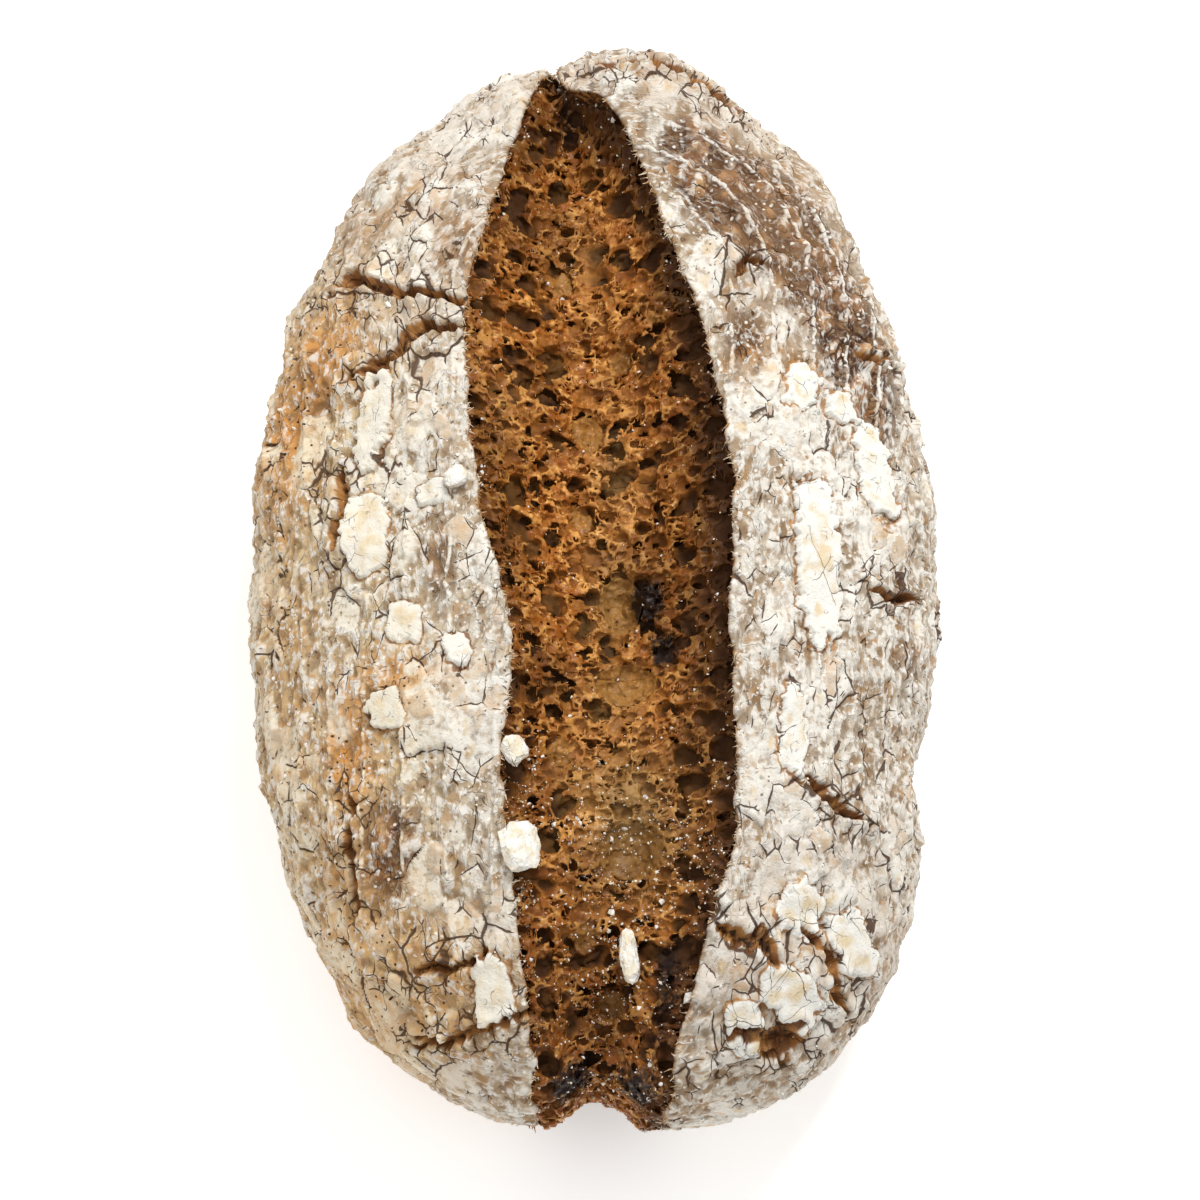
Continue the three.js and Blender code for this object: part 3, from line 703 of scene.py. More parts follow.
def grid_faces(ids):
    return np.stack([ids[:-1, :-1], ids[1:, :-1], ids[1:, 1:], ids[:-1, 1:]], axis=-1).reshape(-1, 4)


def cube_cells(across, along, up):
    return np.stack(np.meshgrid(across, along, up, indexing="ij"), -1)


def crust_sheet(end):
    """Cube places, faces, and the open rim of one quarter with what each part of it borders."""
    across, along, up = (np.arange(count + 1) for count in (ACROSS, ALONG, UP))
    top = cube_cells(across, along, [0])[:, :, 0]
    flank = cube_cells([ACROSS], along, up)[0].transpose(1, 0, 2)
    close = cube_cells(across, [ALONG], up)[:, 0]
    cells = [top, flank, close]
    keys = np.concatenate([grid.reshape(-1, 3) @ [(ALONG + 1) * (UP + 1), UP + 1, 1] for grid in cells])
    _, first, number = np.unique(keys, return_index=True, return_inverse=True)
    corners = np.concatenate([grid.reshape(-1, 3) for grid in cells])[first]
    starts = np.cumsum([0] + [grid.shape[0] * grid.shape[1] for grid in cells])
    ids = [number[one:two].reshape(grid.shape[:2]) for one, two, grid in zip(starts, starts[1:], cells)]
    top, flank, close = ids
    faces = np.concatenate([grid_faces(grid) for grid in ids])
    rim = np.concatenate([top[0], close[0, 1:], close[1:, UP], flank[UP, ALONG - 1::-1],
                          flank[UP - 1::-1, 0], top[ACROSS - 1:0:-1, 0]])
    parts = [len(top[0]) + len(close[0]) - 1, ACROSS + ALONG, UP + ACROSS - 1]
    cube = corners / [ACROSS, ALONG, UP]
    return (cube[:, 0], end * cube[:, 1], 1 - 2 * cube[:, 2]), faces, rim, np.repeat([LIP, BASE, CUT], parts)


print("sheet of one quarter:", len(crust_sheet(1)[1]), "faces,", len(crust_sheet(1)[2]), "corners on its rim")

# %% [markdown]
# From its rim the sheet goes on in rows. At the lip they roll over and run down the torn wall, under the
# base they go on towards the middle of the loaf, and where two quarters meet they go straight in.


# %% Rows that roll the rim inwards
LIP_RADIUS = {-1: 0.5, 1: 0.6}
LIP_TURNS = np.radians([25, 55, 85, 115, 145])
LIP_WALL = [(1.4, 0.4), (2.4, 1.2), (3.6, 2.0), (5.5, 2.4), (8.0, 2.6)]       # depth and undercut
WALL_CRUMBLE = (0.7, 1.7, 20)            # how far, how long, seed
ROWS = len(LIP_TURNS) + len(LIP_WALL)
BASE_ROW = 0.045                         # how far each row goes in under the loaf, as a share
ROWS_LIFT = 2.2                          # how far the last row stands over the table


def way_inland(side, cube, edge, up):
    """Directions along the skin, away from the torn edge."""
    a, b, c = cube
    inland = crust_place(side, np.clip(a + 0.02, 0, 1), b, c)[0] - edge
    inland -= (inland * up).sum(axis=1)[:, None] * up
    return inland / np.maximum(np.linalg.norm(inland, axis=1), 1e-6)[:, None]


def wall_row(row, edge, up, inland, radius):
    """One row of the lip, and how deep and how far undercut it is."""
    if row <= len(LIP_TURNS):
        turn = LIP_TURNS[row - 1]
        depth = radius * (1 - math.cos(turn))
        return edge - inland * radius * math.sin(turn) - up * depth, depth, 0.0
    depth, under = LIP_WALL[row - 1 - len(LIP_TURNS)]
    depth = depth + radius
    far, size, seed = WALL_CRUMBLE
    return edge - up * depth + inland * (under + far * lumps(edge, size, seed + row))[:, None], depth, under


def rim_rows(side, cube, edge, up, lip, kind):
    """Each row: its corners, how much relief shows there, and its distances from lip and base."""
    inland = way_inland(side, cube, edge, up)
    radius = LIP_RADIUS[side] * (1 + 0.35 * lumps(edge, 5, 4))[:, None]
    for row in range(1, ROWS + 1):
        rolled, depth, under = wall_row(row, edge, up, inland, radius)
        share = 1 - BASE_ROW * row
        under_loaf = crust_place(side, cube[0] * share, cube[1] * share, cube[2])[0]
        under_loaf[:, 2] += ROWS_LIFT * (row / ROWS) ** 2
        inner = edge - up * depth + inland * np.clip(under - lip, 0, None)[:, None]
        corners = np.where(kind[:, None] == LIP, rolled, np.where(kind[:, None] == BASE, under_loaf, inner))
        shown = np.where(kind == BASE, 1.0, max(0.0, 1 - row / 4))
        yield corners, shown, np.where(kind == LIP, -0.5 * row, lip), np.where(kind == BASE, 1.0, 0.0)


# %% [markdown]
# A fan of triangles from the last row to one point inside closes the shell. Its faces are turned outwards,
# and every corner is given the values that the patterns read.


# %% A closed quarter of crust
INSIDE = (0.0, 60.0, BULGE_HEIGHT * 0.7)
BASE_FADE = 7.0                          # the base's look starts this high over the table


def carried_values(corners, lip, shown, under):
    values = {"place": corners, "unrolled": unrolled(corners), "slab": slab_edge(corners),
              "crack": crack_gap(corners), "lip": lip, "shown": shown, "under": under}
    return values | {name: tone(corners, spots) for name, spots in TONES.items()}


def crust_quarter(name, side, end):
    cube, quads, rim, kind = crust_sheet(end)
    point, outward, lip = crust_place(side, *cube)
    on_rim = [part[rim] for part in cube]
    rows, masks, lips, unders = zip(*rim_rows(side, on_rim, point[rim], outward[rim], lip[rim], kind))
    centre = np.array([INSIDE]) * [1, end, 1]
    corners = np.concatenate([point, *rows, centre])
    shown = np.concatenate([np.ones(len(point)), *masks, [0.0]])
    lip = np.concatenate([lip, *lips, [-FAR_OFF]])
    under = np.concatenate([np.clip(1 - point[:, 2] / BASE_FADE, 0, 1), *unders, [0.0]])
    loops = [rim] + [len(point) + len(rim) * row + np.arange(len(rim)) for row in range(ROWS)]
    for outer, inner in zip(loops, loops[1:]):
        quads = np.concatenate([quads, np.stack([outer, np.roll(outer, -1), np.roll(inner, -1), inner], 1)])
    last = loops[-1]
    fan = np.stack([last, np.roll(last, -1), np.full(len(last), len(corners) - 1)], axis=1)
    if enclosed(corners, quads, fan) < 0:
        quads, fan = quads[:, ::-1], fan[:, ::-1]
    return show(name, mesh_of(name, corners, quads, fan, carried_values(corners, lip, shown, under)))


# %% [markdown]
# ## The crackled coat, as relief and as colour
# Flour paste dries into plates like mud, and shrinks into cracks that meet at corners. Voronoi cells have
# just such borders, and noise bends them so that no crack is straight. Between the plates lies a thin,
# wrinkled film. Geometry Nodes work the pattern out once for each corner, push the mesh in and out, and
# store what the colours need. Only lines finer than the mesh are left to the shader, which draws them on
# the same bent places.


# %% Plates, domes and threads
STRETCH = 0.66                           # plates are longer along the loaf than across it
BIG_PLATE, MID_PLATE = 9.0, 4.2
WRINKLE = 2.1


def thread(w, value, full, none):
    """A line where a noise passes through zero."""
    return w.step(w.math("ABSOLUTE", value), full, none, 1.0, 0.0)


def plates(w, at, size, share, seed, lift, strain):
    """Plates of one size: which are thick, how far their cracks open, the groove round them and their top."""
    cell = w.cells(at["wavy"], size)
    gap = w.edge_gap(at["wavy"], size)
    drawn = w.split(cell[1])[0]
    cover = w.noise(w.vector("MULTIPLY", cell[2], (1, 1 / STRETCH, 1)), 15.0)[0]
    thick = w.step(w.total(w.times(drawn, 0.4), cover, lift), share, share + 0.03)
    opened = w.total(w.level(at["place"], size * 1.6, seed), w.times(thick, 0.07), w.times(lift, 0.1), strain)
    opened = w.step(opened, 0.05, 0.19)
    tilt = w.add("ShaderNodeVectorMath", {"operation": "DOT_PRODUCT"})
    w.feed(tilt.inputs[0], w.vector("SUBTRACT", cell[1], (0.5, 0.5, 0.5)))
    w.feed(tilt.inputs[1], w.vector("SUBTRACT", at["wavy"], cell[2]))
    top = w.total(w.times(tilt.outputs["Value"], 0.24), w.times(drawn, 0.35), 0.2)
    return {"thick": thick, "opened": opened, "drawn": drawn, "gap": gap,
            "groove": w.times(w.step(gap, 0.0, 0.8, 1.0, 0.0), opened),
            "top": w.times(top, w.step(gap, -0.1, 0.5), thick)}


def domes(w, at, size):
    """Rounded lumps with soft valleys, each drawn high or low."""
    cell = w.cells(at, size, "SMOOTH_F1", soft=0.35)
    return w.times(w.step(cell[0], 0.62, 0.1), w.step(w.split(cell[1])[0], 0.1, 0.9, 0.3, 1.0))


print("plates are", BIG_PLATE, "and", MID_PLATE, "mm across")

# %% [markdown]
# Every layer lies on its own bent copy of the place: the plates on a wavy one, the wrinkles on one that
# flows round the loaf with the basket's rings, and the small curls on a third. Rounded lumps come in four
# sizes.


# %% Bent places and lumps
def bent_places(w):
    place, way = w.attribute("place", vector=True), w.attribute("unrolled", vector=True)
    long = w.vector("MULTIPLY", place, (1.0, STRETCH, 1.0))
    return {"place": place, "way": way, "long": long,
            "wavy": w.bent(w.bent(long, 9.0, 2.2), 2.0, 0.45),
            "flow": w.bent(w.bent(w.vector("MULTIPLY", way, (1.0, 0.42, 1.0)), 7.0, 2.4), 2.2, 0.6),
            "curl": w.bent(place, 4.0, 1.3)}


def lump_layers(w, at):
    return {"swell": w.times(domes(w, w.bent(at["long"], 11.0, 3.0), 9.5), w.attribute("lump")),
            "lumpy": domes(w, w.bent(at["long"], 6.0, 1.6), 5.0),
            "pimple": domes(w, w.bent(at["place"], 3.0, 0.7), 2.1),
            "broad": w.level(w.bent(at["long"], 2.5, 0.8), 2.6, 5.0, 1.0)}


# %% [markdown]
# A slab's outline is roughened by noise and lies in a shallow moat, where it broke away. A deep crack
# follows the borders of the plates near its line, and the coat curls up beside it.


# %% Slabs, deep cracks and the cane's print
def slab_layers(w, at):
    jag = w.total(w.times(w.level(at["place"], 3.4), 5.0), w.times(w.level(at["place"], 1.1), 0.7))
    inside = w.total(w.attribute("slab"), jag)
    slab = w.step(inside, -0.2, 0.3)
    bare = w.minus(1.0, slab)
    return {"in_slab": inside, "slab": slab, "bare": bare, "calm": w.step(slab, 0.0, 1.0, 1.0, 0.25),
            "moat": w.times(w.step(inside, -1.0, -0.5), bare)}


def crack_layers(w, at, plate_gap):
    jag = w.total(w.times(w.level(at["place"], 3.2), 1.6), w.times(w.level(at["place"], 1.2), 1.2), -0.75)
    deep = w.step(w.total(w.attribute("crack"), w.times(plate_gap, 0.9), jag), -1.2, 0.4, 1.0, 0.0)
    return {"deep": deep, "curled": w.times(w.step(w.attribute("crack"), 4.0, 0.6), w.minus(1.0, deep))}


def cane_layers(w, at, bare):
    wander = w.times(w.level(at["place"], 9.0), 3.0)
    from_ridge = w.math("PINGPONG", w.total(w.split(at["way"])[0], wander), CANE_PITCH / 2)
    worn = w.total(w.level(at["place"], 21.0, 9.0), w.times(w.attribute("brown"), 0.4))
    fading = w.times(w.step(worn, -0.1, 0.12, 0.15, 1.0), bare)
    broken = w.step(w.level(at["place"], 3.5, 61.0), -0.12, 0.06, 0.35, 1.0)
    return {"ridge": w.times(w.step(from_ridge, 0.05, 0.75, 1.0, 0.0), fading, broken),
            "trough": w.times(w.step(from_ridge, 0.0, CANE_PITCH / 2, 1.0, 0.0), fading)}


# %% [markdown]
# All layers come together here, once for the mesh and its colours. What the material must read is stored by
# name.


# %% One pattern for mesh and colour
def pattern_layers(w):
    """All layers of the coat by name."""
    at = bent_places(w)
    brown = w.attribute("brown")
    lift = w.times(w.level(at["place"], 34.0, 57.0), 0.5)
    lift = w.total(w.times(w.attribute("white"), 0.2), w.times(brown, -0.35), lift)
    strain = w.times(w.step(w.attribute("crack"), 8.0, 0.5), 0.16)
    big = plates(w, at, BIG_PLATE, 0.83, 31.0, lift, strain)
    mid = plates(w, at, MID_PLATE, 0.9, 11.0, lift, strain)
    layers = at | lump_layers(w, at) | slab_layers(w, at)
    layers |= crack_layers(w, at, mid["gap"]) | cane_layers(w, at, layers["bare"])
    thick = w.most(big["thick"], mid["thick"])
    return layers | {
        "brown": brown, "big_top": big["top"], "mid_top": mid["top"], "plate_draw": mid["drawn"],
        "big_groove": big["groove"], "mid_groove": mid["groove"],
        "thick": w.times(thick, layers["bare"]), "thin": w.minus(1.0, w.most(thick, layers["slab"])),
        "open_big": w.times(big["opened"], layers["calm"]),
        "open_mid": w.times(mid["opened"], layers["calm"]),
        "wrinkle": thread(w, w.level(at["flow"], WRINKLE, 3.0, 1.0), 0.0, 0.12),
        "blotch": w.noise(at["place"], 11.0, 3.0)[0], "spot": w.noise(at["place"], 4.0, 3.0)[0],
        "marks": w.step(w.level(at["place"], 2.6, 41.0), 0.07, 0.13)}


def relief_height(w, on):
    """Millimetres that the coat stands out; each term is a layer and the factors on it."""
    place, thin = on["place"], on["thin"]
    terms = [(on["ridge"], 0.85),
             (on["trough"], w.mix(on["brown"], 0.65, 1.1)),
             (on["big_top"], on["bare"], 1.3),
             (on["mid_top"], on["bare"], 1.0),
             (on["slab"], 1.6),
             (on["swell"], 1.9),
             (w.level(place, 14.0, 77.0), 2.6),
             (on["lumpy"], w.mix(thin, 0.45, 1.2)),
             (on["lumpy"], thin, on["brown"], 0.9),
             (on["pimple"], w.mix(thin, 0.1, 0.5)),
             (on["broad"], w.mix(thin, 0.6, 1.6)),
             (on["wrinkle"], thin, 0.3),
             (w.level(place, 0.9, 0.0, 1.0), 0.25),
             (on["big_groove"], on["calm"], -0.5),
             (on["mid_groove"], on["calm"], -0.25),
             (on["moat"], -0.5),
             (on["curled"], 1.1),
             (on["deep"], -2.7)]
    return w.total(*[w.times(*term) for term in terms])


# %% [markdown]
# The tree stores the layers that the material reads, moves the corners along their normals by the relief,
# and then lifts whatever would go through the table. Low on the flanks the flour is thinner, so the relief
# is calmer there.


# %% The relief tree
STORED = ("wavy", "flow", "curl", "open_big", "open_mid", "thick", "thin", "in_slab", "deep", "ridge",
          "swell", "trough", "broad", "lumpy", "pimple", "plate_draw", "blotch", "spot", "marks")
LOW, HIGH = 6.0, 58.0                    # heights between which the relief grows


def store(w, geometry, values):
    """Stores values under their names on the corners."""
    for name, value in values.items():
        kind = "FLOAT_VECTOR" if value.type in ("VECTOR", "RGBA") else "FLOAT"
        options = {"data_type": kind, "domain": "POINT"}
        node = w.add("GeometryNodeStoreNamedAttribute", options, {"Geometry": geometry, "Name": name})
        w.feed([s for s in node.inputs if s.name == "Value" and s.enabled][0], value)
        geometry = node.outputs[0]
    return geometry


def relief_tree():
    inputs = {"Relief": ("Float", 1.0), "Material": ("Material", None)}
    tree, w, given, out = geometry_tree("crust_relief", inputs)
    layers = pattern_layers(w)
    kept = store(w, given["Geometry"], {name: layers[name] for name in STORED})
    by_height = w.step(w.split(layers["place"])[2], LOW, HIGH, 0.5, 1.0)
    calm = w.times(w.minus(1.0, w.times(w.attribute("under"), 0.6)), by_height)
    push = w.times(relief_height(w, layers), w.attribute("shown"), calm, given["Relief"], MM)
    normal = w.add("GeometryNodeInputNormal").outputs["Normal"]
    moved = w.add("GeometryNodeSetPosition", None, {"Geometry": kept, "Offset": w.scaled(normal, push)})
    place = w.add("GeometryNodeInputPosition").outputs[0]
    above = w.vector("MAXIMUM", place, (-1.0, -1.0, 0.0))
    rested = w.add("GeometryNodeSetPosition", None, {"Geometry": moved.outputs[0], "Position": above})
    finish_tree(w, rested.outputs[0], given["Material"], out)
    return tree


crust_relief = relief_tree()
print("relief tree:", len(crust_relief.nodes), "nodes")

# %% [markdown]
# ## Finishes
# Every finish is a Principled shader, fed by colours, roughness and a bump. Flour has the same grain on the
# crust, on the crumb, on the chips and on the frayed lips, so that grain is a shader node group: built
# once, and placed in each material. It gives a shade in soft spots and a height in millimetres for the
# bump.


# %% A material, and the flour's grain
def new_material(name):
    """A material with a Principled shader; gives it, its node helper and the shader's sockets."""
    material = bpy.data.materials.new(name)
    material.use_nodes = True
    material.node_tree.nodes.clear()
    w = Patterns(material.node_tree)
    shader = w.add("ShaderNodeBsdfPrincipled")
    output = w.add("ShaderNodeOutputMaterial")
    w.tree.links.new(shader.outputs[0], output.inputs["Surface"])
    return material, w, shader.inputs


def flour_grain_group():
    group = bpy.data.node_groups.new("flour_grain", "ShaderNodeTree")
    group.interface.new_socket("Place", in_out="INPUT", socket_type="NodeSocketVector")
    for label in ("Shade", "Height"):
        group.interface.new_socket(label, in_out="OUTPUT", socket_type="NodeSocketFloat")
    w = Patterns(group)
    place = w.add("NodeGroupInput").outputs["Place"]
    ends = w.add("NodeGroupOutput").inputs
    w.feed(ends["Shade"], w.step(w.noise(place, 2.2, 3.0)[0], 0.4, 0.64))
    w.feed(ends["Height"], w.times(w.noise(place, 0.5, 2.0)[0], 0.25))
    return group


FLOUR_GRAIN = flour_grain_group()


def grain_of(w, place):
    return w.add("ShaderNodeGroup", {"node_tree": FLOUR_GRAIN}, {"Place": place}).outputs


print("flour grain:", len(FLOUR_GRAIN.nodes), "nodes")

# %% [markdown]
# The crust's finish reads what the mesh carries and adds what is too fine for it: the dark lines between
# the plates, hair-thin wrinkles, squiggles, pits and single grains. They are drawn on the same bent places
# as the relief.


# %% Lines and spots finer than the mesh
READ = ("brown", "tan", "white", "ochre", "thick", "thin", "in_slab", "deep", "ridge", "trough", "swell",
        "lump", "broad", "lumpy", "pimple", "plate_draw", "blotch", "spot", "marks", "open_big", "open_mid",
        "under", "lip")


def crack_line(w, gap, opened, wide):
    """A crack along the plates' borders, as wide as it is open."""
    reach = w.most(w.times(opened, wide), 0.02)
    return w.times(w.step(gap, w.times(reach, 0.35), reach, 1.0, 0.0), w.step(opened, 0.1, 0.3))


def fine_lines(w, on):
    big_gap, mid_gap = w.edge_gap(on["wavy"], BIG_PLATE), w.edge_gap(on["wavy"], MID_PLATE)
    big, mid = crack_line(w, big_gap, on["open_big"], 0.26), crack_line(w, mid_gap, on["open_mid"], 0.19)
    hair_width = w.step(on["fine"], 0.36, 0.66, 0.012, 0.075)
    return {"cracks": w.most(big, mid),
            "rim": w.least(big_gap, w.total(mid_gap, 0.3)),
            "hair": thread(w, w.level(on["flow"], WRINKLE, 3.0, 1.0), 0.0, hair_width),
            "squiggle": w.times(thread(w, w.level(on["curl"], 3.0, 23.0, 1.0), 0.003, 0.018), on["marks"])}


def fine_spots(w, on):
    away, drawn = w.cells(on["place"], 1.5)[:2]
    drawn = w.split(drawn)[0]
    dust = w.total(w.times(on["broad"], 0.5), w.times(on["lumpy"], 0.1), w.times(on["white"], 0.1),
                   w.times(on["brown"], -0.08), w.times(on["tan"], -0.06), w.times(on["streak"], 0.6),
                   w.times(on["fine"], 0.4))
    return {"speck": away, "dust": dust,
            "grains": w.times(w.step(away, 0.2, 0.32, 1.0, 0.0), w.step(drawn, 0.72, 0.76)),
            "pits": w.times(w.step(away, 0.16, 0.26, 1.0, 0.0), w.step(drawn, 0.4, 0.36)),
            "shiny": w.times(w.step(on["pimple"], 0.45, 0.75), w.step(on["fine"], 0.45, 0.55))}


def read_crust(w):
    """All that the crust's colours depend on, by name."""
    on = {name: w.attribute(name) for name in READ}
    on |= {name: w.attribute(name, vector=True) for name in ("place", "wavy", "flow", "curl")}
    on |= {"fine": w.noise(on["place"], 1.7, 2.0)[0], "streak": w.noise(on["flow"], 1.1, 2.0)[0]}
    return on | fine_lines(w, on) | fine_spots(w, on)


# %% [markdown]
# Colours are laid over one another like coats of paint, each with a mask that says how far it covers. The
# lowest coat is the bare brown crust and the thin film of flour on it, with dust in its hollows and on its
# wrinkles, and painted shade in the creases between the bare crust's lumps.


# %% Bare crust and thin film
def bare_colour(w, on):
    bare = w.tint(w.step(on["spot"], 0.4, 0.6), colour("774e30"), colour("a37850"))
    return w.painted(bare, [
        (w.times(w.step(on["trough"], 0.5, 0.95), w.step(on["fine"], 0.4, 0.6)), "5d3b22"),
        # Dark brown in the creases between the lumps is painted shade.
        (w.times(w.step(on["lumpy"], 0.22, 0.02), w.step(on["fine"], 0.34, 0.56, 0.5, 1.0)), "3f2413"),
        (w.times(w.step(on["lumpy"], 0.42, 0.72), w.step(on["spot"], 0.46, 0.56), 0.85), "c9a172")])


def film_colour(w, on):
    film = w.tint(w.step(on["blotch"], 0.38, 0.62), colour("a08a70"), colour("c3b7a5"))
    faint = w.minus(1.0, w.most(w.times(on["brown"], 0.5), w.times(on["ochre"], 0.6)))
    return w.painted(film, [
        (w.times(on["ochre"], w.step(on["blotch"], 0.3, 0.62, 0.5, 1.0)), "cdb485"),
        (w.times(w.step(on["spot"], 0.53, 0.62), 0.55), "a87d4c"),
        (w.times(w.step(on["brown"], 0.1, 0.5), w.step(on["fine"], 0.3, 0.5, 0.6, 1.0)), bare_colour(w, on)),
        (w.times(on["tan"], w.step(on["spot"], 0.3, 0.55, 0.5, 1.0)), "c68a45"),
        (w.times(w.step(on["broad"], -0.14, 0.0, 1.0, 0.0), 0.55), "755839"),
        (w.times(on["shiny"], 0.35), "cbae82"),
        (w.times(w.step(on["dust"], 0.49, 0.64), 0.8), "dedad1"),
        (w.times(on["hair"], w.step(on["spot"], 0.38, 0.58, 0.1, 0.75), faint), "e6e2da"),
        (w.times(on["grains"], 0.8), "ece8de")])


# %% [markdown]
# The thick plates are dried paste, nearly white, blushing where the crust shines through. Slabs of caked
# flour are whiter still, and a dark line in the torn paste's colour runs round them as painted shade at their
# foot.


# %% Thick paste and caked slabs
def paste_colour(w, on):
    blush = w.times(w.step(on["spot"], 0.42, 0.64), w.step(on["rim"], 0.4, 1.6))
    paste = w.tint(blush, colour("e3dfd6"), colour("d9c6a4"))
    return w.painted(paste, [
        (w.times(on["ochre"], 0.8), "e2d2b2"),
        (w.times(on["ochre"], blush, 0.7), "cfae7c"),
        (w.times(on["tan"], w.step(on["spot"], 0.42, 0.6), 0.75), "cc9550"),
        (w.times(w.step(on["plate_draw"], 0.84, 0.92), w.step(on["fine"], 0.3, 0.6), 0.6), "bd9461")])


def caked_colour(w, on):
    worn = w.times(w.step(on["spot"], 0.42, 0.66), w.step(on["in_slab"], 0.3, 2.0))
    caked = w.tint(worn, colour("e5e2da"), colour("d9c6a4"))
    return w.painted(caked, [(w.times(on["ochre"], 0.6), "dfd0b0")])


def coat_colour(w, on):
    """Film, paste and slabs in their places."""
    crest = w.times(w.step(on["ridge"], 0.25, 0.7), w.step(on["fine"], 0.25, 0.5), 0.95)
    thick = w.times(on["thick"], w.step(on["fine"], 0.32, 0.56, 0.3, 0.9))
    valley = w.times(on["lump"], w.step(on["swell"], 0.3, 0.05), w.step(on["fine"], 0.35, 0.6), 0.7)
    return w.painted(film_colour(w, on), [
        (w.most(thick, crest), paste_colour(w, on)),
        (valley, "a8825a"),
        (w.step(on["in_slab"], -0.12, 0.08), caked_colour(w, on))])


# %% [markdown]
# Where the coat has broken one looks into torn brown paste, darkened at the bottom of deep cracks as painted
# shade. The wall under the lip is toasted dough, and the base is baked brown, with a little flour from the
# oven's floor.


# %% Broken places, the lip's wall and the base
CRACK_BROWN = "4a2d15"


def torn_colour(w, on):
    torn = w.tint(w.step(on["spot"], 0.4, 0.6), colour("7a4c22"), colour("b37f45"))
    # The bottom of a deep crack is darkened as painted shade.
    crack_floor_shade = w.times(w.step(on["deep"], 0.75, 1.0), w.step(on["fine"], 0.62, 0.42))
    return w.painted(torn, [(crack_floor_shade, "472a12")])


def wall_colour(w, on):
    wall = w.tint(w.step(on["fine"], 0.38, 0.62), colour("54300f"), colour("b07a3a"))
    holes = w.times(w.step(on["speck"], 0.35, 0.15), w.step(on["fine"], 0.4, 0.55))
    return w.painted(wall, [(holes, "2c1808")])


def baked_colour(w, on):
    floured = w.total(w.times(on["blotch"], 0.9), w.times(on["fine"], 0.5), w.times(on["broad"], 0.8))
    baked = w.tint(w.step(on["blotch"], 0.36, 0.62), colour("7b5836"), colour("a88358"))
    return w.painted(baked, [
        (w.times(w.step(on["spot"], 0.52, 0.64), 0.6), "5f3f24"),
        (w.times(w.step(floured, 0.72, 0.95), 0.75), "d6c6aa")])


def crust_colour(w, on):
    torn = torn_colour(w, on)
    # A dark ring round each slab's foot, in the torn paste's colour, is painted shade.
    slab_foot_shade = w.times(w.step(on["in_slab"], -0.75, -0.45), w.step(on["in_slab"], -0.05, -0.2),
                       w.step(on["fine"], 0.38, 0.5))
    pitted = w.most(w.step(on["blotch"], 0.42, 0.6), w.total(on["ochre"], on["tan"]))
    base = w.total(on["under"], w.times(on["fine"], 0.35), w.times(on["blotch"], 0.6),
                   w.times(on["broad"], 0.4))
    return w.painted(coat_colour(w, on), [
        (w.times(on["cracks"], 0.92), CRACK_BROWN),
        (w.times(on["squiggle"], w.mix(on["thin"], 0.2, 0.7)), "5f4026"),
        (w.times(slab_foot_shade, 0.85), torn),
        (w.times(w.step(on["deep"], 0.14, 0.36), 0.95), torn),
        (w.times(on["pits"], pitted, w.math("LESS_THAN", on["in_slab"], 0.0), 0.75), CRACK_BROWN),
        (w.step(on["lip"], -1.6, -0.3, 1.0, 0.0), wall_colour(w, on)),
        (w.step(base, 0.75, 1.25), baked_colour(w, on))])


# %% [markdown]
# Floury crust is dull. Only the bare pimples between the flour shine a little, so they get a lower
# roughness.


# %% The crust's finish
DUST_BUMP = 0.9


def crust_material():
    material, w, sockets = new_material("floured_crust")
    on = read_crust(w)
    clean = w.times(on["shiny"], w.step(on["dust"], 0.48, 0.66, 1.0, 0.0))
    height = w.total(grain_of(w, on["place"])["Height"], w.times(on["hair"], on["thin"], 0.2),
                     w.times(on["cracks"], -0.45), w.times(on["squiggle"], -0.4), w.times(on["streak"], 0.3))
    w.feed(sockets["Base Color"], crust_colour(w, on))
    w.feed(sockets["Roughness"], w.step(clean, 0.1, 0.8, 0.9, 0.5))
    w.feed(sockets["Normal"], w.bump(DUST_BUMP, height))
    sockets["Specular IOR Level"].default_value = 0.3
    return material


crust_finish = crust_material()
print("crust finish:", len(crust_finish.node_tree.nodes), "nodes")

# %% [markdown]
# Now each quarter is made plain, then grown by the relief tree, which also sets its material.

# %% Build the crust
crust_pieces = []
for side, side_name in ((-1, "left"), (1, "right")):
    for end, end_name in ((-1, "near"), (1, "far")):
        label = f"crust_{side_name}_{end_name}"
        plain = crust_quarter(label + "_plain", side, end)
        piece = grown(plain, crust_relief, label, {"Material": crust_finish})
        crust_pieces.append(piece)
        print(label, triangle_count(piece), "triangles")

# %% [markdown]
# ## The underside
# The loaf stands on a flat, baked base. The four quarters end a little way in under the loaf, and this thin
# plate closes the middle. It uses the same tree and the same finish, which know the base by a value called
# "under". Towards the loaf's ends the plate lies a little higher, inside the quarters.


# %% The base plate
BASE_SHARE = 0.78                        # how far the plate reaches sideways, as a share of the cube
BASE_ALONG = (-1.0, 0.95)
BASE_LIFT = 1.2
BASE_CLEAR = 0.12
BASE_CELLS = (110, 180)
BASE_THICKNESS = 2.4
BASE_NARROWS = (0.98, 0.98, 1.0)


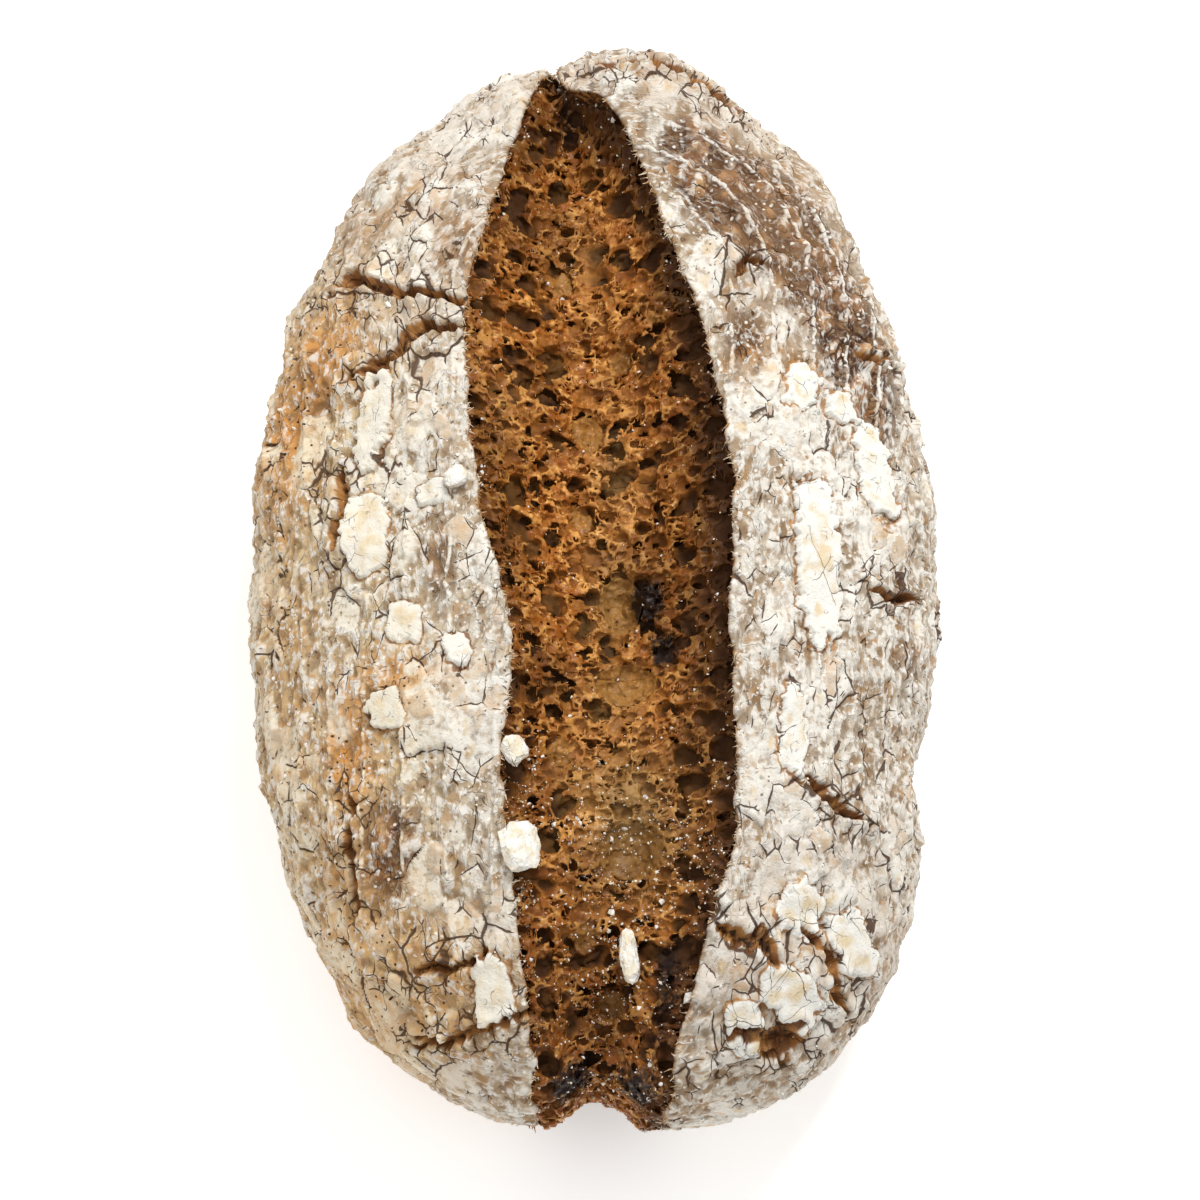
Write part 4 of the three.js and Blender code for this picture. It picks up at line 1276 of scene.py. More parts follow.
def base_plate():
    across = np.linspace(-BASE_SHARE, BASE_SHARE, BASE_CELLS[0] + 1)
    along = np.linspace(*BASE_ALONG, BASE_CELLS[1] + 1)
    a, b = (g.ravel() for g in np.meshgrid(across, along, indexing="ij"))
    point, _ = skin_point(cube_to_sphere(a, b, np.full(len(a), -1.0)))
    point[:, 2] += BASE_CLEAR + BASE_LIFT * np.clip((np.abs(b) - 0.6) / 0.2, 0, 1)
    ids = np.arange(len(point)).reshape(len(across), len(along))
    rim = np.concatenate([ids[0], ids[1:, -1], ids[-1, -2::-1], ids[-2:0:-1, 0]])
    lifted = point[rim] * BASE_NARROWS + [0, 0, 0.5 * BASE_THICKNESS]
    corners = np.concatenate([point, lifted, [[0, 0, 3 * BASE_THICKNESS]]])
    upper = len(point) + np.arange(len(rim))
    wall = np.stack([rim, np.roll(rim, -1), np.roll(upper, -1), upper], 1)[:, ::-1]
    quads = np.concatenate([grid_faces(ids), wall])
    fan = np.stack([upper, np.roll(upper, -1), np.full(len(rim), len(corners) - 1)], 1)[:, ::-1]
    if enclosed(corners, quads, fan) < 0:
        quads, fan = quads[:, ::-1], fan[:, ::-1]
    shown = np.where(np.arange(len(corners)) < len(point), 1.0, 0.0)
    shown[rim] = 0
    none = np.zeros(len(corners))
    carried = {"place": corners, "unrolled": corners, "slab": none - FAR_OFF, "crack": none + FAR_OFF,
               "lip": none + 50, "shown": shown, "under": none + 1} | {name: none for name in TONES}
    return show("base_plain", mesh_of("base_plain", corners, quads, fan, carried))


base = grown(base_plate(), crust_relief, "crust_base", {"Material": crust_finish})
print("base:", triangle_count(base), "triangles")

# %% [markdown]
# ## The torn crumb
# Inside the burst the dough tore while it was still setting, so the crumb is a foam of bubbles with thin
# walls. We make foam as a volume: a block of small cells is full where there is dough and empty inside
# bubbles, which are spheres round Voronoi seeds at three sizes. Volume to Mesh wraps it in a skin. The
# block is straight: u runs across the burst, v along it and w up. Afterwards its corners are bent onto the
# valley between the lips.


# %% How the burst runs
STATION_START, STATION_END = -25.0, 224.0


def along_burst():
    """Stations and the way along the burst's middle in millimetres."""
    station = np.linspace(STATION_START, STATION_END, 1500)
    middle = (profile(LEFT_EDGE, station) + profile(RIGHT_EDGE, station)) / 2
    straight = ahead(station)
    line = skin_point(tilted(straight, tilt_to(straight, middle)), crumb_depth(station, middle) * 0.6)[0]
    way = np.concatenate([[0.0], np.cumsum(np.linalg.norm(np.diff(line, axis=0), axis=1))])
    return station, way


STATIONS, WAY = along_burst()
print("burst length", round(float(WAY[-1])), "mm")

# %% [markdown]
# The crumb isn't even. Some spots are smooth and close, some are charred, and some are deep hollows where
# large bubbles tore. They have their places in the burst, and the colours have further tones seen from
# above.

# %% Spots and hollows of the crumb
# Spots: station, place across (-1 left edge, 1 right), reach along and across in mm, strength.
SMOOTH_SPOTS = [(122, 0.1, 17, 13, 1.0), (108, -0.05, 8, 10, 0.5)]
CHAR_SPOTS = [(98, 0.35, 7, 5, 1.0), (104, 0.5, 6, 5, 0.8), (166, -0.45, 9, 8, 0.8), (166, 0.5, 8, 6, 0.7),
              (150, 0.75, 10, 4, 0.5), (36, 0.4, 8, 6, 0.6), (140, 0.7, 9, 5, 0.6)]
# Hollows: station, across, radii along and across, depth.
HOLLOWS = [(78, -0.05, 6, 5, 4.5), (98, 0.1, 8, 6, 5.5), (107, 0.1, 6, 9, 5), (126, 0.16, 7.5, 8.5, 4.4),
           (60, -0.2, 5, 4, 3), (88, -0.2, 4.5, 4, 3.4), (70, 0.35, 4, 4, 3.2), (137, -0.3, 5, 4, 3),
           (115, -0.55, 4.5, 4, 3), (148, 0.1, 4.5, 5, 3)]
# Tones: centre x, y, reach across and along, strength.
CRUMB_TONES = {
    # The first tone is painted shade along the lips, and darker crumb in its other spots.
    "shade_and_dark": [(-9, -38, 5, 8, 0.8), (2, -108, 18, 18, 0.75), (27, -4, 6, 36, 0.8), (23, -52, 5, 26, 0.6),
            (-21, -64, 5, 22, 0.5), (-4, 104, 10, 9, 0.6), (16, 44, 6, 18, 0.4), (-12, -66, 6, 8, 0.5),
            (14, -18, 7, 10, 0.6)],
    "pale": [(5, 14, 6, 22, 0.5), (4, -22, 6, 16, 0.6), (6, -64, 13, 12, 0.9), (-20, 26, 5, 8, 0.5),
             (14, -84, 8, 8, 0.5), (-2, 70, 8, 14, 0.35)]}
print(len(HOLLOWS), "hollows,", len(SMOOTH_SPOTS), "smooth and", len(CHAR_SPOTS), "charred spots")

# %% [markdown]
# A flat grid of points guides the block. Each point carries where its place on the valley is, which way is
# out, and how near the burst's border, a hollow, a smooth spot or a charred spot lies.


# %% The guide
GUIDE_LEFT, GUIDE_RIGHT = -36.0, 41.0
GUIDE_STEP = 1.0
TUCK = 3.2                               # how far the crumb runs on under the lips


def from_spot(way, across, half, spot):
    """Where places are from a spot's centre, in units of its reach along and across."""
    at, over, along, wide = spot[:4]
    return (way - np.interp(at, STATIONS, WAY)) / along, (across - over) * half / wide


def spotted(spots, way, across, half):
    value = np.zeros(len(way))
    for spot in spots:
        dv, du = from_spot(way, across, half, spot)
        value += spot[4] * np.exp(-du * du - dv * dv)
    return np.clip(value, 0, 1)


def hollowed(way, across, half):
    value = np.zeros(len(way))
    for spot in HOLLOWS:
        dv, du = from_spot(way, across, half, spot)
        value = np.maximum(value, spot[4] * np.sqrt(np.clip(1 - du * du - dv * dv, 0, None)))
    return value


def guide_mesh():
    """The grid of points, and how many of them are in a column."""
    u = np.arange(GUIDE_LEFT, GUIDE_RIGHT + GUIDE_STEP / 2, GUIDE_STEP)
    v = np.arange(0.0, WAY[-1] + GUIDE_STEP / 2, GUIDE_STEP)
    grid_u, grid_v = (g.ravel() for g in np.meshgrid(u, v, indexing="ij"))
    station = np.interp(grid_v, WAY, STATIONS)
    half, across = across_burst(station, grid_u)
    band = np.minimum(grid_u - profile(LEFT_EDGE, station), profile(RIGHT_EDGE, station) - grid_u) + TUCK
    straight = ahead(station)
    valley, outward = skin_point(tilted(straight, tilt_to(straight, grid_u)), crumb_depth(station, grid_u))
    hollow = hollowed(grid_v, across, half)
    smooth, char = (spotted(spots, grid_v, across, half) for spots in (SMOOTH_SPOTS, CHAR_SPOTS))
    carried = {"valley": valley, "outward": outward, "shape": np.stack([band, hollow, across], axis=1),
               "look": np.stack([smooth, char, station], axis=1)}
    corners = np.stack([grid_u, grid_v, np.zeros(len(grid_u))], axis=1) / MM
    return mesh_of("crumb_guide", corners, [], (), carried), len(v)


guide_points, GUIDE_COLUMN = guide_mesh()
print("guide:", len(guide_points.vertices), "points")

# %% [markdown]
# In the volume every place reads the guide, blended between the four points round it.


# %% Reading the guide
def guide_spot(w, block):
    """Number of the guide's point below a place of the block, and how far past it the place is."""
    column = w.math("DIVIDE", w.minus(block[0], GUIDE_LEFT), GUIDE_STEP)
    row = w.math("DIVIDE", block[1], GUIDE_STEP)
    whole_column, whole_row = w.math("FLOOR", column), w.math("FLOOR", row)
    corner = w.total(w.times(whole_column, float(GUIDE_COLUMN)), whole_row)
    return corner, w.minus(column, whole_column), w.minus(row, whole_row)


def sampled(w, guide, name, corner, offset):
    """The guide's value at one of its points."""
    feeds = {"Geometry": guide, "Index": w.total(corner, float(offset))}
    options = {"data_type": "FLOAT_VECTOR", "domain": "POINT", "clamp": True}
    node = w.add("GeometryNodeSampleIndex", options, feeds)
    w.feed([s for s in node.inputs if s.name == "Value" and s.enabled][0], w.attribute(name, vector=True))
    return [s for s in node.outputs if s.enabled][0]


def between(w, low, high, part):
    return w.vector("ADD", low, w.scaled(w.vector("SUBTRACT", high, low), part))


def guided(w, guide, name, spot):
    """The guide's value at a place."""
    corner, part_column, part_row = spot
    columns = []
    for first in (0, GUIDE_COLUMN):
        low, high = (sampled(w, guide, name, corner, offset) for offset in (first, first + 1))
        columns.append(between(w, low, high, part_row))
    return between(w, *columns, part_column)


# %% [markdown]
# A place is inside a bubble if it is nearer to a seed than the bubble's radius. Between large and middle
# bubbles the dough is a net of small cells with thin walls, and a thin lining with torn windows in it goes
# round each bubble.


# %% Bubbles, walls and torn surface
def bubbles(w, at, size, small, large):
    """How far a place is from the bubbles of one size, in millimetres; negative inside one."""
    cell = w.cells(at, size)
    radius = w.mix(w.split(cell[1])[0], small, large)
    return w.times(w.minus(cell[0], radius), size)


def rough(w, at, size, by, *factors):
    """Noise about zero that reaches half as far as by."""
    return w.times(w.minus(w.noise(at, size)[0], 0.5), by, *factors)


def torn_surface(w, stretched, smooth, hollow):
    """How high the torn surface stands over the valley."""
    rugged = w.minus(1.0, w.times(smooth, 0.7))
    coarse, fine = rough(w, stretched, 7.0, 6.0, rugged), rough(w, stretched, 2.0, 4.0, rugged)
    return w.minus(w.total(coarse, fine, 0.6), hollow)


def foam_walls(w, given, stretched, wavy, smooth, below):
    """How far a place is inside the dough between the bubbles; negative in the air."""
    largest = w.minus(0.66, w.times(smooth, 0.2))
    outside = w.least(bubbles(w, wavy, given["Large Bubble"], 0.0, largest),
                      bubbles(w, wavy, given["Middle Bubble"], 0.1, largest))
    walls = w.edge_gap(wavy, given["Small Bubble"])
    closing = w.most(w.times(w.minus(below, 1.2), 0.55), 0.0)
    thickness = w.total(w.step(w.noise(stretched, 3.0)[0], 0.3, 0.7, 0.13, 0.36), closing)
    window = w.step(w.noise(stretched, 1.6)[0], 0.52, 0.66, 0.0, 0.35)
    lining = w.minus(w.minus(0.3, window), outside)
    return w.least(w.most(w.minus(thickness, walls), lining), outside)


def buried_depth(w, stretched, smooth, hollow):
    """Depth below which the crumb is solid, so that nothing is seen through it."""
    uneven = rough(w, stretched, 3.0, 4.0)
    buried = w.total(w.step(smooth, 0.0, 1.0, 4.4, 2.6), uneven)
    return w.mix(w.step(hollow, 0.6, 2.6), buried, w.total(w.times(uneven, 0.3), 0.5))


# %% [markdown]
# The volume needs a number of cells each way, from its corners and the cell size. Loose crumbs that the
# foam leaves floating in the air are found as small islands of the mesh and deleted.


# %% The block of cells and its skin
CRUMB_FLOOR, CRUMB_TOP = 9.5, 4.5
BLOCK_SIDES = (GUIDE_LEFT + 1.0, GUIDE_LEFT + 76.0)
LEAST_ISLAND = 400                       # corners


def wrapped_block(w, given, density):
    """A mesh round the part of the block where the density is over a half."""
    low = w.joined(BLOCK_SIDES[0], given["Start"], -CRUMB_FLOOR)
    high = w.joined(BLOCK_SIDES[1], given["End"], CRUMB_TOP)
    cell = w.joined(*[given["Cell Size"]] * 3)
    count = w.vector("ADD", w.vector("DIVIDE", w.vector("SUBTRACT", high, low), cell), (1.5, 1.5, 1.5))
    feeds = {"Density": density, "Min": low, "Max": high}
    feeds |= {"Resolution " + axis: part for axis, part in zip("XYZ", w.split(count))}
    volume = w.add("GeometryNodeVolumeCube", None, feeds).outputs[0]
    feeds = {"Volume": volume, "Threshold": 0.5, "Adaptivity": 0.15}
    return w.add("GeometryNodeVolumeToMesh", None, feeds).outputs[0]


def without_crumbs(w, geometry):
    island = w.add("GeometryNodeInputMeshIsland").outputs["Island Index"]
    counting = {"data_type": "INT", "domain": "POINT"}
    tally = w.add("GeometryNodeAccumulateField", counting, {"Group ID": island})
    w.feed([s for s in tally.inputs if s.name == "Value"][0], 1)
    few = w.add("FunctionNodeCompare", {"data_type": "INT", "operation": "LESS_THAN"})
    whole = [s for s in few.inputs if s.type == "INT"]
    w.feed(whole[0], [s for s in tally.outputs if s.name == "Total"][0])
    w.feed(whole[1], LEAST_ISLAND)
    feeds = {"Geometry": geometry, "Selection": few.outputs[0]}
    return w.add("GeometryNodeDeleteGeometry", {"domain": "POINT"}, feeds).outputs[0]


# %% [markdown]
# The foam tree puts these together. Its inputs are the bubbles' sizes, the cell size and the stretch of the
# burst that it makes, because one mesh of the whole crumb would be too large.


# %% The foam tree
def foam_tree():
    inputs = {"Start": ("Float", 0.0), "End": ("Float", 100.0), "Cell Size": ("Float", 0.5),
              "Large Bubble": ("Float", 6.4), "Middle Bubble": ("Float", 3.5), "Small Bubble": ("Float", 2.3),
              "Material": ("Material", None)}
    tree, w, given, out = geometry_tree("torn_foam", inputs)
    block = w.split(w.add("GeometryNodeInputPosition").outputs[0])
    spot = guide_spot(w, block)
    valley, outward, shape, look = (guided(w, given["Geometry"], name, spot)
                                    for name in ("valley", "outward", "shape", "look"))
    band, hollow, across = w.split(shape)
    smooth, char = w.split(look)[:2]
    stretched = w.vector("MULTIPLY", w.vector("ADD", valley, w.scaled(outward, block[2])), (0.82, 1.08, 1.0))
    wavy = w.bent(w.bent(stretched, 8.0, 1.4), 2.4, 0.5)
    below = w.minus(torn_surface(w, stretched, smooth, hollow), block[2])
    foam = foam_walls(w, given, stretched, wavy, smooth, below)
    ground = w.minus(below, buried_depth(w, stretched, smooth, hollow))
    inside = w.least(w.most(foam, ground), below, band)
    density = w.math("ADD", w.math("DIVIDE", inside, w.times(given["Cell Size"], 2.0)), 0.5, clamp=True)
    kept = {"below": below, "smooth": smooth, "char": char, "across": across, "band": band, "hollow": hollow}
    skin = store(w, wrapped_block(w, given, density), kept)
    finish_tree(w, without_crumbs(w, skin), given["Material"], out)
    return tree


foam = foam_tree()
print("foam tree:", len(foam.nodes), "nodes")

# %% [markdown]
# The crumb's colour goes by depth: golden tips, toasted and lightened as painted light, painted highlights
# near the top, brown walls, and insides darkened with depth as painted shade. Buckwheat makes it grey and
# olive where it is pale. Along the lips, most on the right, it is darkened as painted shade, the charred
# spots are darker, and moist walls shine a little.


# %% Crumb finish
def crumb_base(w, place, depth, patch, middle, fine):
    """Tips toasted and lightened as painted light, brown walls, and insides darkened by depth as painted
    shade.
    """
    # The dark insides are painted shade: the deeper, the darker.
    deep = w.tint(w.step(patch, 0.4, 0.62), colour("3a2007"), colour("5c3b12"))
    body = w.tint(w.step(middle, 0.38, 0.64), colour("84470f"), colour("a86a28"))
    # The tips are toasted, and lighter as painted light.
    toasted_lit_tips = w.tint(w.step(middle, 0.36, 0.6), colour("d8994e"), colour("9a5416"))
    return w.painted(w.tint(w.step(depth, 1.6, 4.6), body, deep), [
        (w.step(depth, 0.2, 1.4, 1.0, 0.0), toasted_lit_tips),
        (w.times(w.step(fine, 0.56, 0.74), 0.6), "5a300c"),
        # Pale orange spots near the top are a painted highlight.
        (w.times(w.step(fine, 0.44, 0.28), w.step(depth, 0.5, 2.5, 0.8, 0.0)), "efbb70")])


def crumb_colour(w, place, depth, patch, fine):
    middle = w.noise(w.vector("ADD", place, (5.0, 3.0, 1.0)), 4.0, 2.0)[0]
    pale = w.most(w.attribute("smooth"), w.times(w.attribute("pale"), w.step(patch, 0.3, 0.6, 0.5, 1.0)))
    olive = w.tint(w.step(fine, 0.4, 0.6), colour("86693a"), colour("c8a468"))
    lining = w.times(w.step(w.attribute("hollow"), 1.0, 2.6), w.step(depth, 0.2, 1.6, 1.0, 0.4))
    lining_colour = w.tint(w.step(middle, 0.4, 0.6), colour("5f3f18"), colour("a27a40"))
    # Darker brown along the lips, most on the right, is painted shade under the lips.
    lip_shade = w.step(w.attribute("band"), 3.5, 13.0, 1.0, 0.0)
    shade_to_right = w.mix(w.step(w.attribute("across"), 0.0, 0.9), 0.35, 0.85)
    char = w.step(w.times(w.attribute("char"), w.total(fine, 0.35)), 0.3, 0.62)
    return w.painted(crumb_base(w, place, depth, patch, middle, fine), [
        (w.times(pale, w.step(depth, 4.5, 0.5, 0.4, 0.75)), olive),
        (w.times(lining, w.step(fine, 0.35, 0.6, 0.35, 0.75)), lining_colour),
        (w.times(w.step(w.noise(place, 24.0, 1.0)[0], 0.47, 0.6), 0.4), "4f2c0c"),
        # Painted shade along the lips, and darker crumb in spots.
        (w.times(w.attribute("shade_and_dark"), w.step(fine, 0.35, 0.6, 0.9, 0.6)), "351c08"),
        (w.times(lip_shade, shade_to_right), "40240b"),
        (char, "23150d")])


def crumb_material():
    material, w, sockets = new_material("torn_crumb")
    place = w.attribute("place", vector=True)
    patch, fine = w.noise(place, 12.0, 2.0)[0], w.noise(place, 1.3, 3.0)[0]
    depth = w.total(w.attribute("below"), w.times(w.minus(fine, 0.5), 1.6))
    w.feed(sockets["Base Color"], crumb_colour(w, place, depth, patch, fine))
    dull = w.total(w.step(fine, 0.3, 0.7, 0.28, 0.5), w.step(depth, 1.0, 3.0, 0.0, 0.4))
    w.feed(sockets["Roughness"], dull)
    w.feed(sockets["Normal"], w.bump(0.5, grain_of(w, place)["Height"]))
    sockets["Specular IOR Level"].default_value = 0.24
    return material


crumb_finish = crumb_material()
print("crumb finish:", len(crumb_finish.node_tree.nodes), "nodes")

# %% [markdown]
# The burst is made in seven stretches. Each is grown straight, and then every corner is moved to its place
# under the skin: along the burst, across it, and up or down from the valley.


# %% Grow the foam and bend it onto the valley
CRUMB_SEGMENTS = 7
FOAM_CELL = 0.45
OVER_TABLE = 0.3


def bend_onto_valley(piece):
    """Moves a straight block's corners onto the crumb's valley."""
    mesh = piece.data
    u, v, up = read_vectors(mesh, "co").T
    station = np.interp(v, WAY, STATIONS)
    straight = ahead(station)
    point, _ = skin_point(tilted(straight, tilt_to(straight, u)), crumb_depth(station, u) - up)
    point[:, 2] = np.maximum(point[:, 2], OVER_TABLE)
    mesh.vertices.foreach_set("co", (point * MM).astype(np.float32).ravel())
    carry(mesh, {"place": point} | {name: tone(point, spots) for name, spots in CRUMB_TONES.items()})
    mesh.polygons.foreach_set("use_smooth", np.ones(len(mesh.polygons), dtype=bool))
    mesh.update()


crumb_pieces = []
segment = math.floor(WAY[-1] / CRUMB_SEGMENTS / FOAM_CELL) * FOAM_CELL
for part in range(CRUMB_SEGMENTS):
    start = part * segment
    values = {"Start": start, "End": min(start + segment, float(WAY[-1])), "Cell Size": FOAM_CELL,
              "Material": crumb_finish}
    piece = grown(show("crumb_guide_part", guide_points.copy()), foam, f"crumb_part_{part + 1}", values)
    bend_onto_valley(piece)
    crumb_pieces.append(piece)
    print(piece.name, triangle_count(piece), "triangles")

# %% [markdown]
# ## Chips of caked flour
# Four loose chips broke off the coat. Each one starts from its CAD solid: a subdivision with creased edges
# keeps the facets and rounds them a little, and noise makes the broken faces crumbly.


# %% Chips
CHIPS = ("flour_chip_large", "flour_chip_upper", "flour_chip_long", "flour_chip_crust")


def chip_tree():
    inputs = {"Roughness": ("Float", 1.0), "Material": ("Material", None)}
    tree, w, given, out = geometry_tree("caked_chip", inputs)
    feeds = {"Mesh": given["Geometry"], "Level": 3, "Edge Crease": 0.55}
    fine_mesh = w.add("GeometryNodeSubdivisionSurface", None, feeds).outputs[0]
    place = w.scaled(w.add("GeometryNodeInputPosition").outputs[0], 1 / MM)
    uneven = w.total(w.times(w.level(place, 2.6), 1.3), w.times(w.level(place, 0.9), 0.5))
    normal = w.add("GeometryNodeInputNormal").outputs["Normal"]
    push = w.scaled(normal, w.times(uneven, given["Roughness"], MM))
    moved = w.add("GeometryNodeSetPosition", None, {"Geometry": fine_mesh, "Offset": push})
    finish_tree(w, moved.outputs[0], given["Material"], out)
    return tree


def flour_material(name, light, dark):
    material, w, sockets = new_material(name)
    grain = grain_of(w, w.scaled(w.add("ShaderNodeTexCoord").outputs["Object"], 1 / MM))
    w.feed(sockets["Base Color"], w.tint(grain["Shade"], colour(light), colour(dark)))
    w.feed(sockets["Normal"], w.bump(DUST_BUMP, grain["Height"]))
    sockets["Roughness"].default_value = 0.95
    return material


chip_finish = flour_material("caked_flour", "eeebe4", "e2d6bd")
chip_relief = chip_tree()
for node in CHIPS:
    source = show(node + "_source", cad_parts[node].data.copy())
    source.data.materials.clear()
    chip = grown(source, chip_relief, node.replace("flour_chip", "chip"), {"Material": chip_finish})
    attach(chip, "root")
    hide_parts(node)
    print(chip.name, triangle_count(chip), "triangles")

# %% [markdown]
# ## Loose flour, grains and frayed lips
# Grains of flour lie on the crust and fleck the crumb, and the torn lips end in short fibres. Each kind is
# picked from the corners of the finished meshes, with a fixed seed: a place, the way out there, a size and
# a turn. A small tree sets one of three shapes on every place, and the copies become real geometry.


# %% Picking places on finished pieces
def pick_places(pieces, weight, count, seed):
    """Draws corners of the pieces, each as likely as its weight; gives places in millimetres and ways out."""
    place = np.concatenate([read_vectors(piece.data, "co") for piece in pieces]) / MM
    outward = np.concatenate([read_vectors(piece.data, "normal") for piece in pieces])
    chance = np.concatenate([weight(piece.data, read_vectors(piece.data, "co") / MM) for piece in pieces])
    draw = np.random.default_rng(seed)
    picked = draw.choice(len(place), size=count, replace=False, p=chance / chance.sum())
    return place[picked], outward[picked], draw


# %% [markdown]
# The tree turns each copy upright to its own way out, spins it about that way, and scales it. It picks one
# of the shapes for it by number.


# %% The scatter tree
def scatter_tree(name, shapes):
    """Sets a shape on every point, by its own way, spin and size."""
    inputs = {"Size": ("Float", 1.0), "Material": ("Material", None)}
    tree, w, given, out = geometry_tree(name, inputs)
    choices = w.add("GeometryNodeGeometryToInstance")
    for shape in shapes(w):
        w.feed(choices.inputs[0], shape)
    way = w.attribute("way", vector=True)
    upright = w.add("FunctionNodeAlignRotationToVector", {"axis": "Z"}, {"Vector": way}).outputs[0]
    turned = w.add("FunctionNodeRotateRotation", {"rotation_space": "LOCAL"}, {"Rotation": upright})
    w.feed(turned.inputs["Rotate By"], w.joined(z=w.attribute("spin")))
    whole = w.add("FunctionNodeFloatToInt", {"rounding_mode": "FLOOR"}, {0: w.attribute("choice")})
    feeds = {"Points": given["Geometry"], "Instance": choices.outputs[0], "Pick Instance": True,
             "Instance Index": whole.outputs[0], "Rotation": turned.outputs[0],
             "Scale": w.scaled(w.attribute("size", vector=True), w.times(given["Size"], MM))}
    copies = w.add("GeometryNodeInstanceOnPoints", None, feeds)
    finish_tree(w, copies.outputs[0], given["Material"], out)
    return tree


def scattered(name, tree, place, outward, size, draw, material):
    count = len(place)
    spin = draw.uniform(0, 2 * np.pi, count)
    choice = draw.uniform(0, 2.99, count)
    carried = {"way": outward, "size": size, "spin": spin, "choice": choice}
    source = show(name + "_places", mesh_of(name + "_places", place, [], (), carried))
    piece = grown(source, tree, name, {"Material": material})
    print(name + ":", count, "copies,", triangle_count(piece), "triangles")
    return piece


# %% [markdown]
# A grain is a small ball of 20 faces pushed out of shape: there are thousands, so each has to be plain. A
# fibre is a bent cone with four sides.


# %% Shapes for the loose things
FIBRE_BENDS = (0.35, -0.55, 0.8)


def grain_shapes(w):
    """Three angular grains about one unit in radius."""
    for number in range(3):
        ball = w.add("GeometryNodeMeshIcoSphere", None, {"Radius": 1.0, "Subdivisions": 1}).outputs["Mesh"]
        place = w.add("GeometryNodeInputPosition").outputs[0]
        uneven = w.noise(w.vector("ADD", place, (7.3 * number, 2.0, 5.0)), 0.9, 0.0)[0]
        pushed = w.scaled(place, w.step(uneven, 0.2, 0.8, 0.55, 1.35))
        yield w.add("GeometryNodeSetPosition", None, {"Geometry": ball, "Position": pushed}).outputs[0]


def fibre_shapes(w):
    """Three curved, tapering fibres one unit long, standing on their thick end."""
    for number, bend in enumerate(FIBRE_BENDS):
        feeds = {"Vertices": 4, "Side Segments": 4, "Radius Top": 0.25, "Radius Bottom": 1.0, "Depth": 1.0}
        cone = w.add("GeometryNodeMeshCone", None, feeds).outputs["Mesh"]
        up = w.split(w.add("GeometryNodeInputPosition").outputs[0])[2]
        aside = w.times(up, up, bend * 7)
        push = w.joined(aside, w.times(aside, 0.4 * (number - 1)))
        yield w.add("GeometryNodeSetPosition", None, {"Geometry": cone, "Offset": push}).outputs[0]


grain_tree = scatter_tree("grains", grain_shapes)
fibre_tree = scatter_tree("fibres", fibre_shapes)
print("shapes:", len(grain_tree.nodes), "and", len(fibre_tree.nodes), "nodes")

# %% [markdown]
# Loose flour isn't spread evenly. It gathers on the white parts of the crust and along the lip, in the open
# near end of the burst, and where the chips shed their crumbs. Fibres stand on the torn edge alone.


# %% Where the loose things lie
# Chip dust: centre x, y, reach across and along, strength.
CHIP_DUST = [(-16, -83, 6, 7, 1.0), (-17, -62, 5, 8, 1.0), (8, -98, 6, 10, 0.7), (24, -84, 5, 8, 0.6),
             (4, -72, 14, 7, 0.5)]


def on_crust(mesh, place):
    top = np.clip((place[:, 2] - 12) / 30, 0, 1)
    near_lip = read_values(mesh, "lip") < 6
    return top * (read_values(mesh, "shown") > 0.9) * (0.25 + read_values(mesh, "white") + near_lip)


def on_crumb(mesh, place):
    near_end = np.clip((-48 - place[:, 1]) / 30, 0, 1)
    edge = read_values(mesh, "band") < 6.5
    likely = 0.1 + near_end + 0.4 * edge + 4.0 * tone(place, CHIP_DUST)
    return (read_values(mesh, "below") < 1.6) * likely * (place[:, 2] > 20)


def on_lip(mesh, place):
    lip = read_values(mesh, "lip")
    return ((lip > -1.8) & (lip < 0.05) & (place[:, 2] > 14)) * 1.0


# %% [markdown]
# Sizes are drawn so that most grains are fine and a few are coarse, as in sifted flour with some crumbs in
# it.

# %% Grains on the crust
GRAINS, GRAIN_SIZE, COARSE_GRAINS = 1100, 0.16, 70
COARSER = 2.6

place, outward, draw = pick_places(crust_pieces, on_crust, GRAINS, 3)
size = GRAIN_SIZE * np.exp(draw.normal(0, 0.45, (GRAINS, 1))) * draw.uniform(0.7, 1.3, (GRAINS, 3))
size[:COARSE_GRAINS] *= COARSER
place = place + outward * size[:, :1] * 0.4
crust_grains = scattered("crust_grains", grain_tree, place, outward, size, draw, chip_finish)

# %% [markdown]
# The flecks in the burst are the same grains, sunk a little into the crumb.

# %% Flecks on the crumb
FLECKS, FLECK_SIZE, COARSE_FLECKS = 3000, 0.19, 60

place, outward, draw = pick_places(crumb_pieces, on_crumb, FLECKS, 5)
size = FLECK_SIZE * np.exp(draw.normal(0, 0.4, (FLECKS, 1))) * draw.uniform(0.6, 1.4, (FLECKS, 3))
size[:COARSE_FLECKS] *= COARSER
crumb_flecks = scattered("crumb_flecks", grain_tree, place + outward * 0.05, outward, size, draw, chip_finish)

# %% [markdown]
# The fibres lean any way from the lip. Their thick ends start a little inside the crust, so that none
# floats.

# %% Fibres on the lips
FIBRES = 1100

fibre_finish = flour_material("lip_fibre", "d8c8ac", "a97c48")
place, outward, draw = pick_places(crust_pieces, on_lip, FIBRES, 7)
outward = outward + draw.normal(0, 0.6, (FIBRES, 3))
outward /= np.linalg.norm(outward, axis=1)[:, None]
width = draw.uniform(0.12, 0.34, (FIBRES, 1))
size = np.concatenate([width, width, draw.uniform(0.35, 1.0, (FIBRES, 1))], axis=1)
lip_fibres = scattered("lip_fibres", fibre_tree, place - outward * 0.2, outward, size, draw, fibre_finish)

for piece, slot in ((crust_grains, "flour"), (crumb_flecks, "flour"), (lip_fibres, "crust")):
    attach(piece, "root")

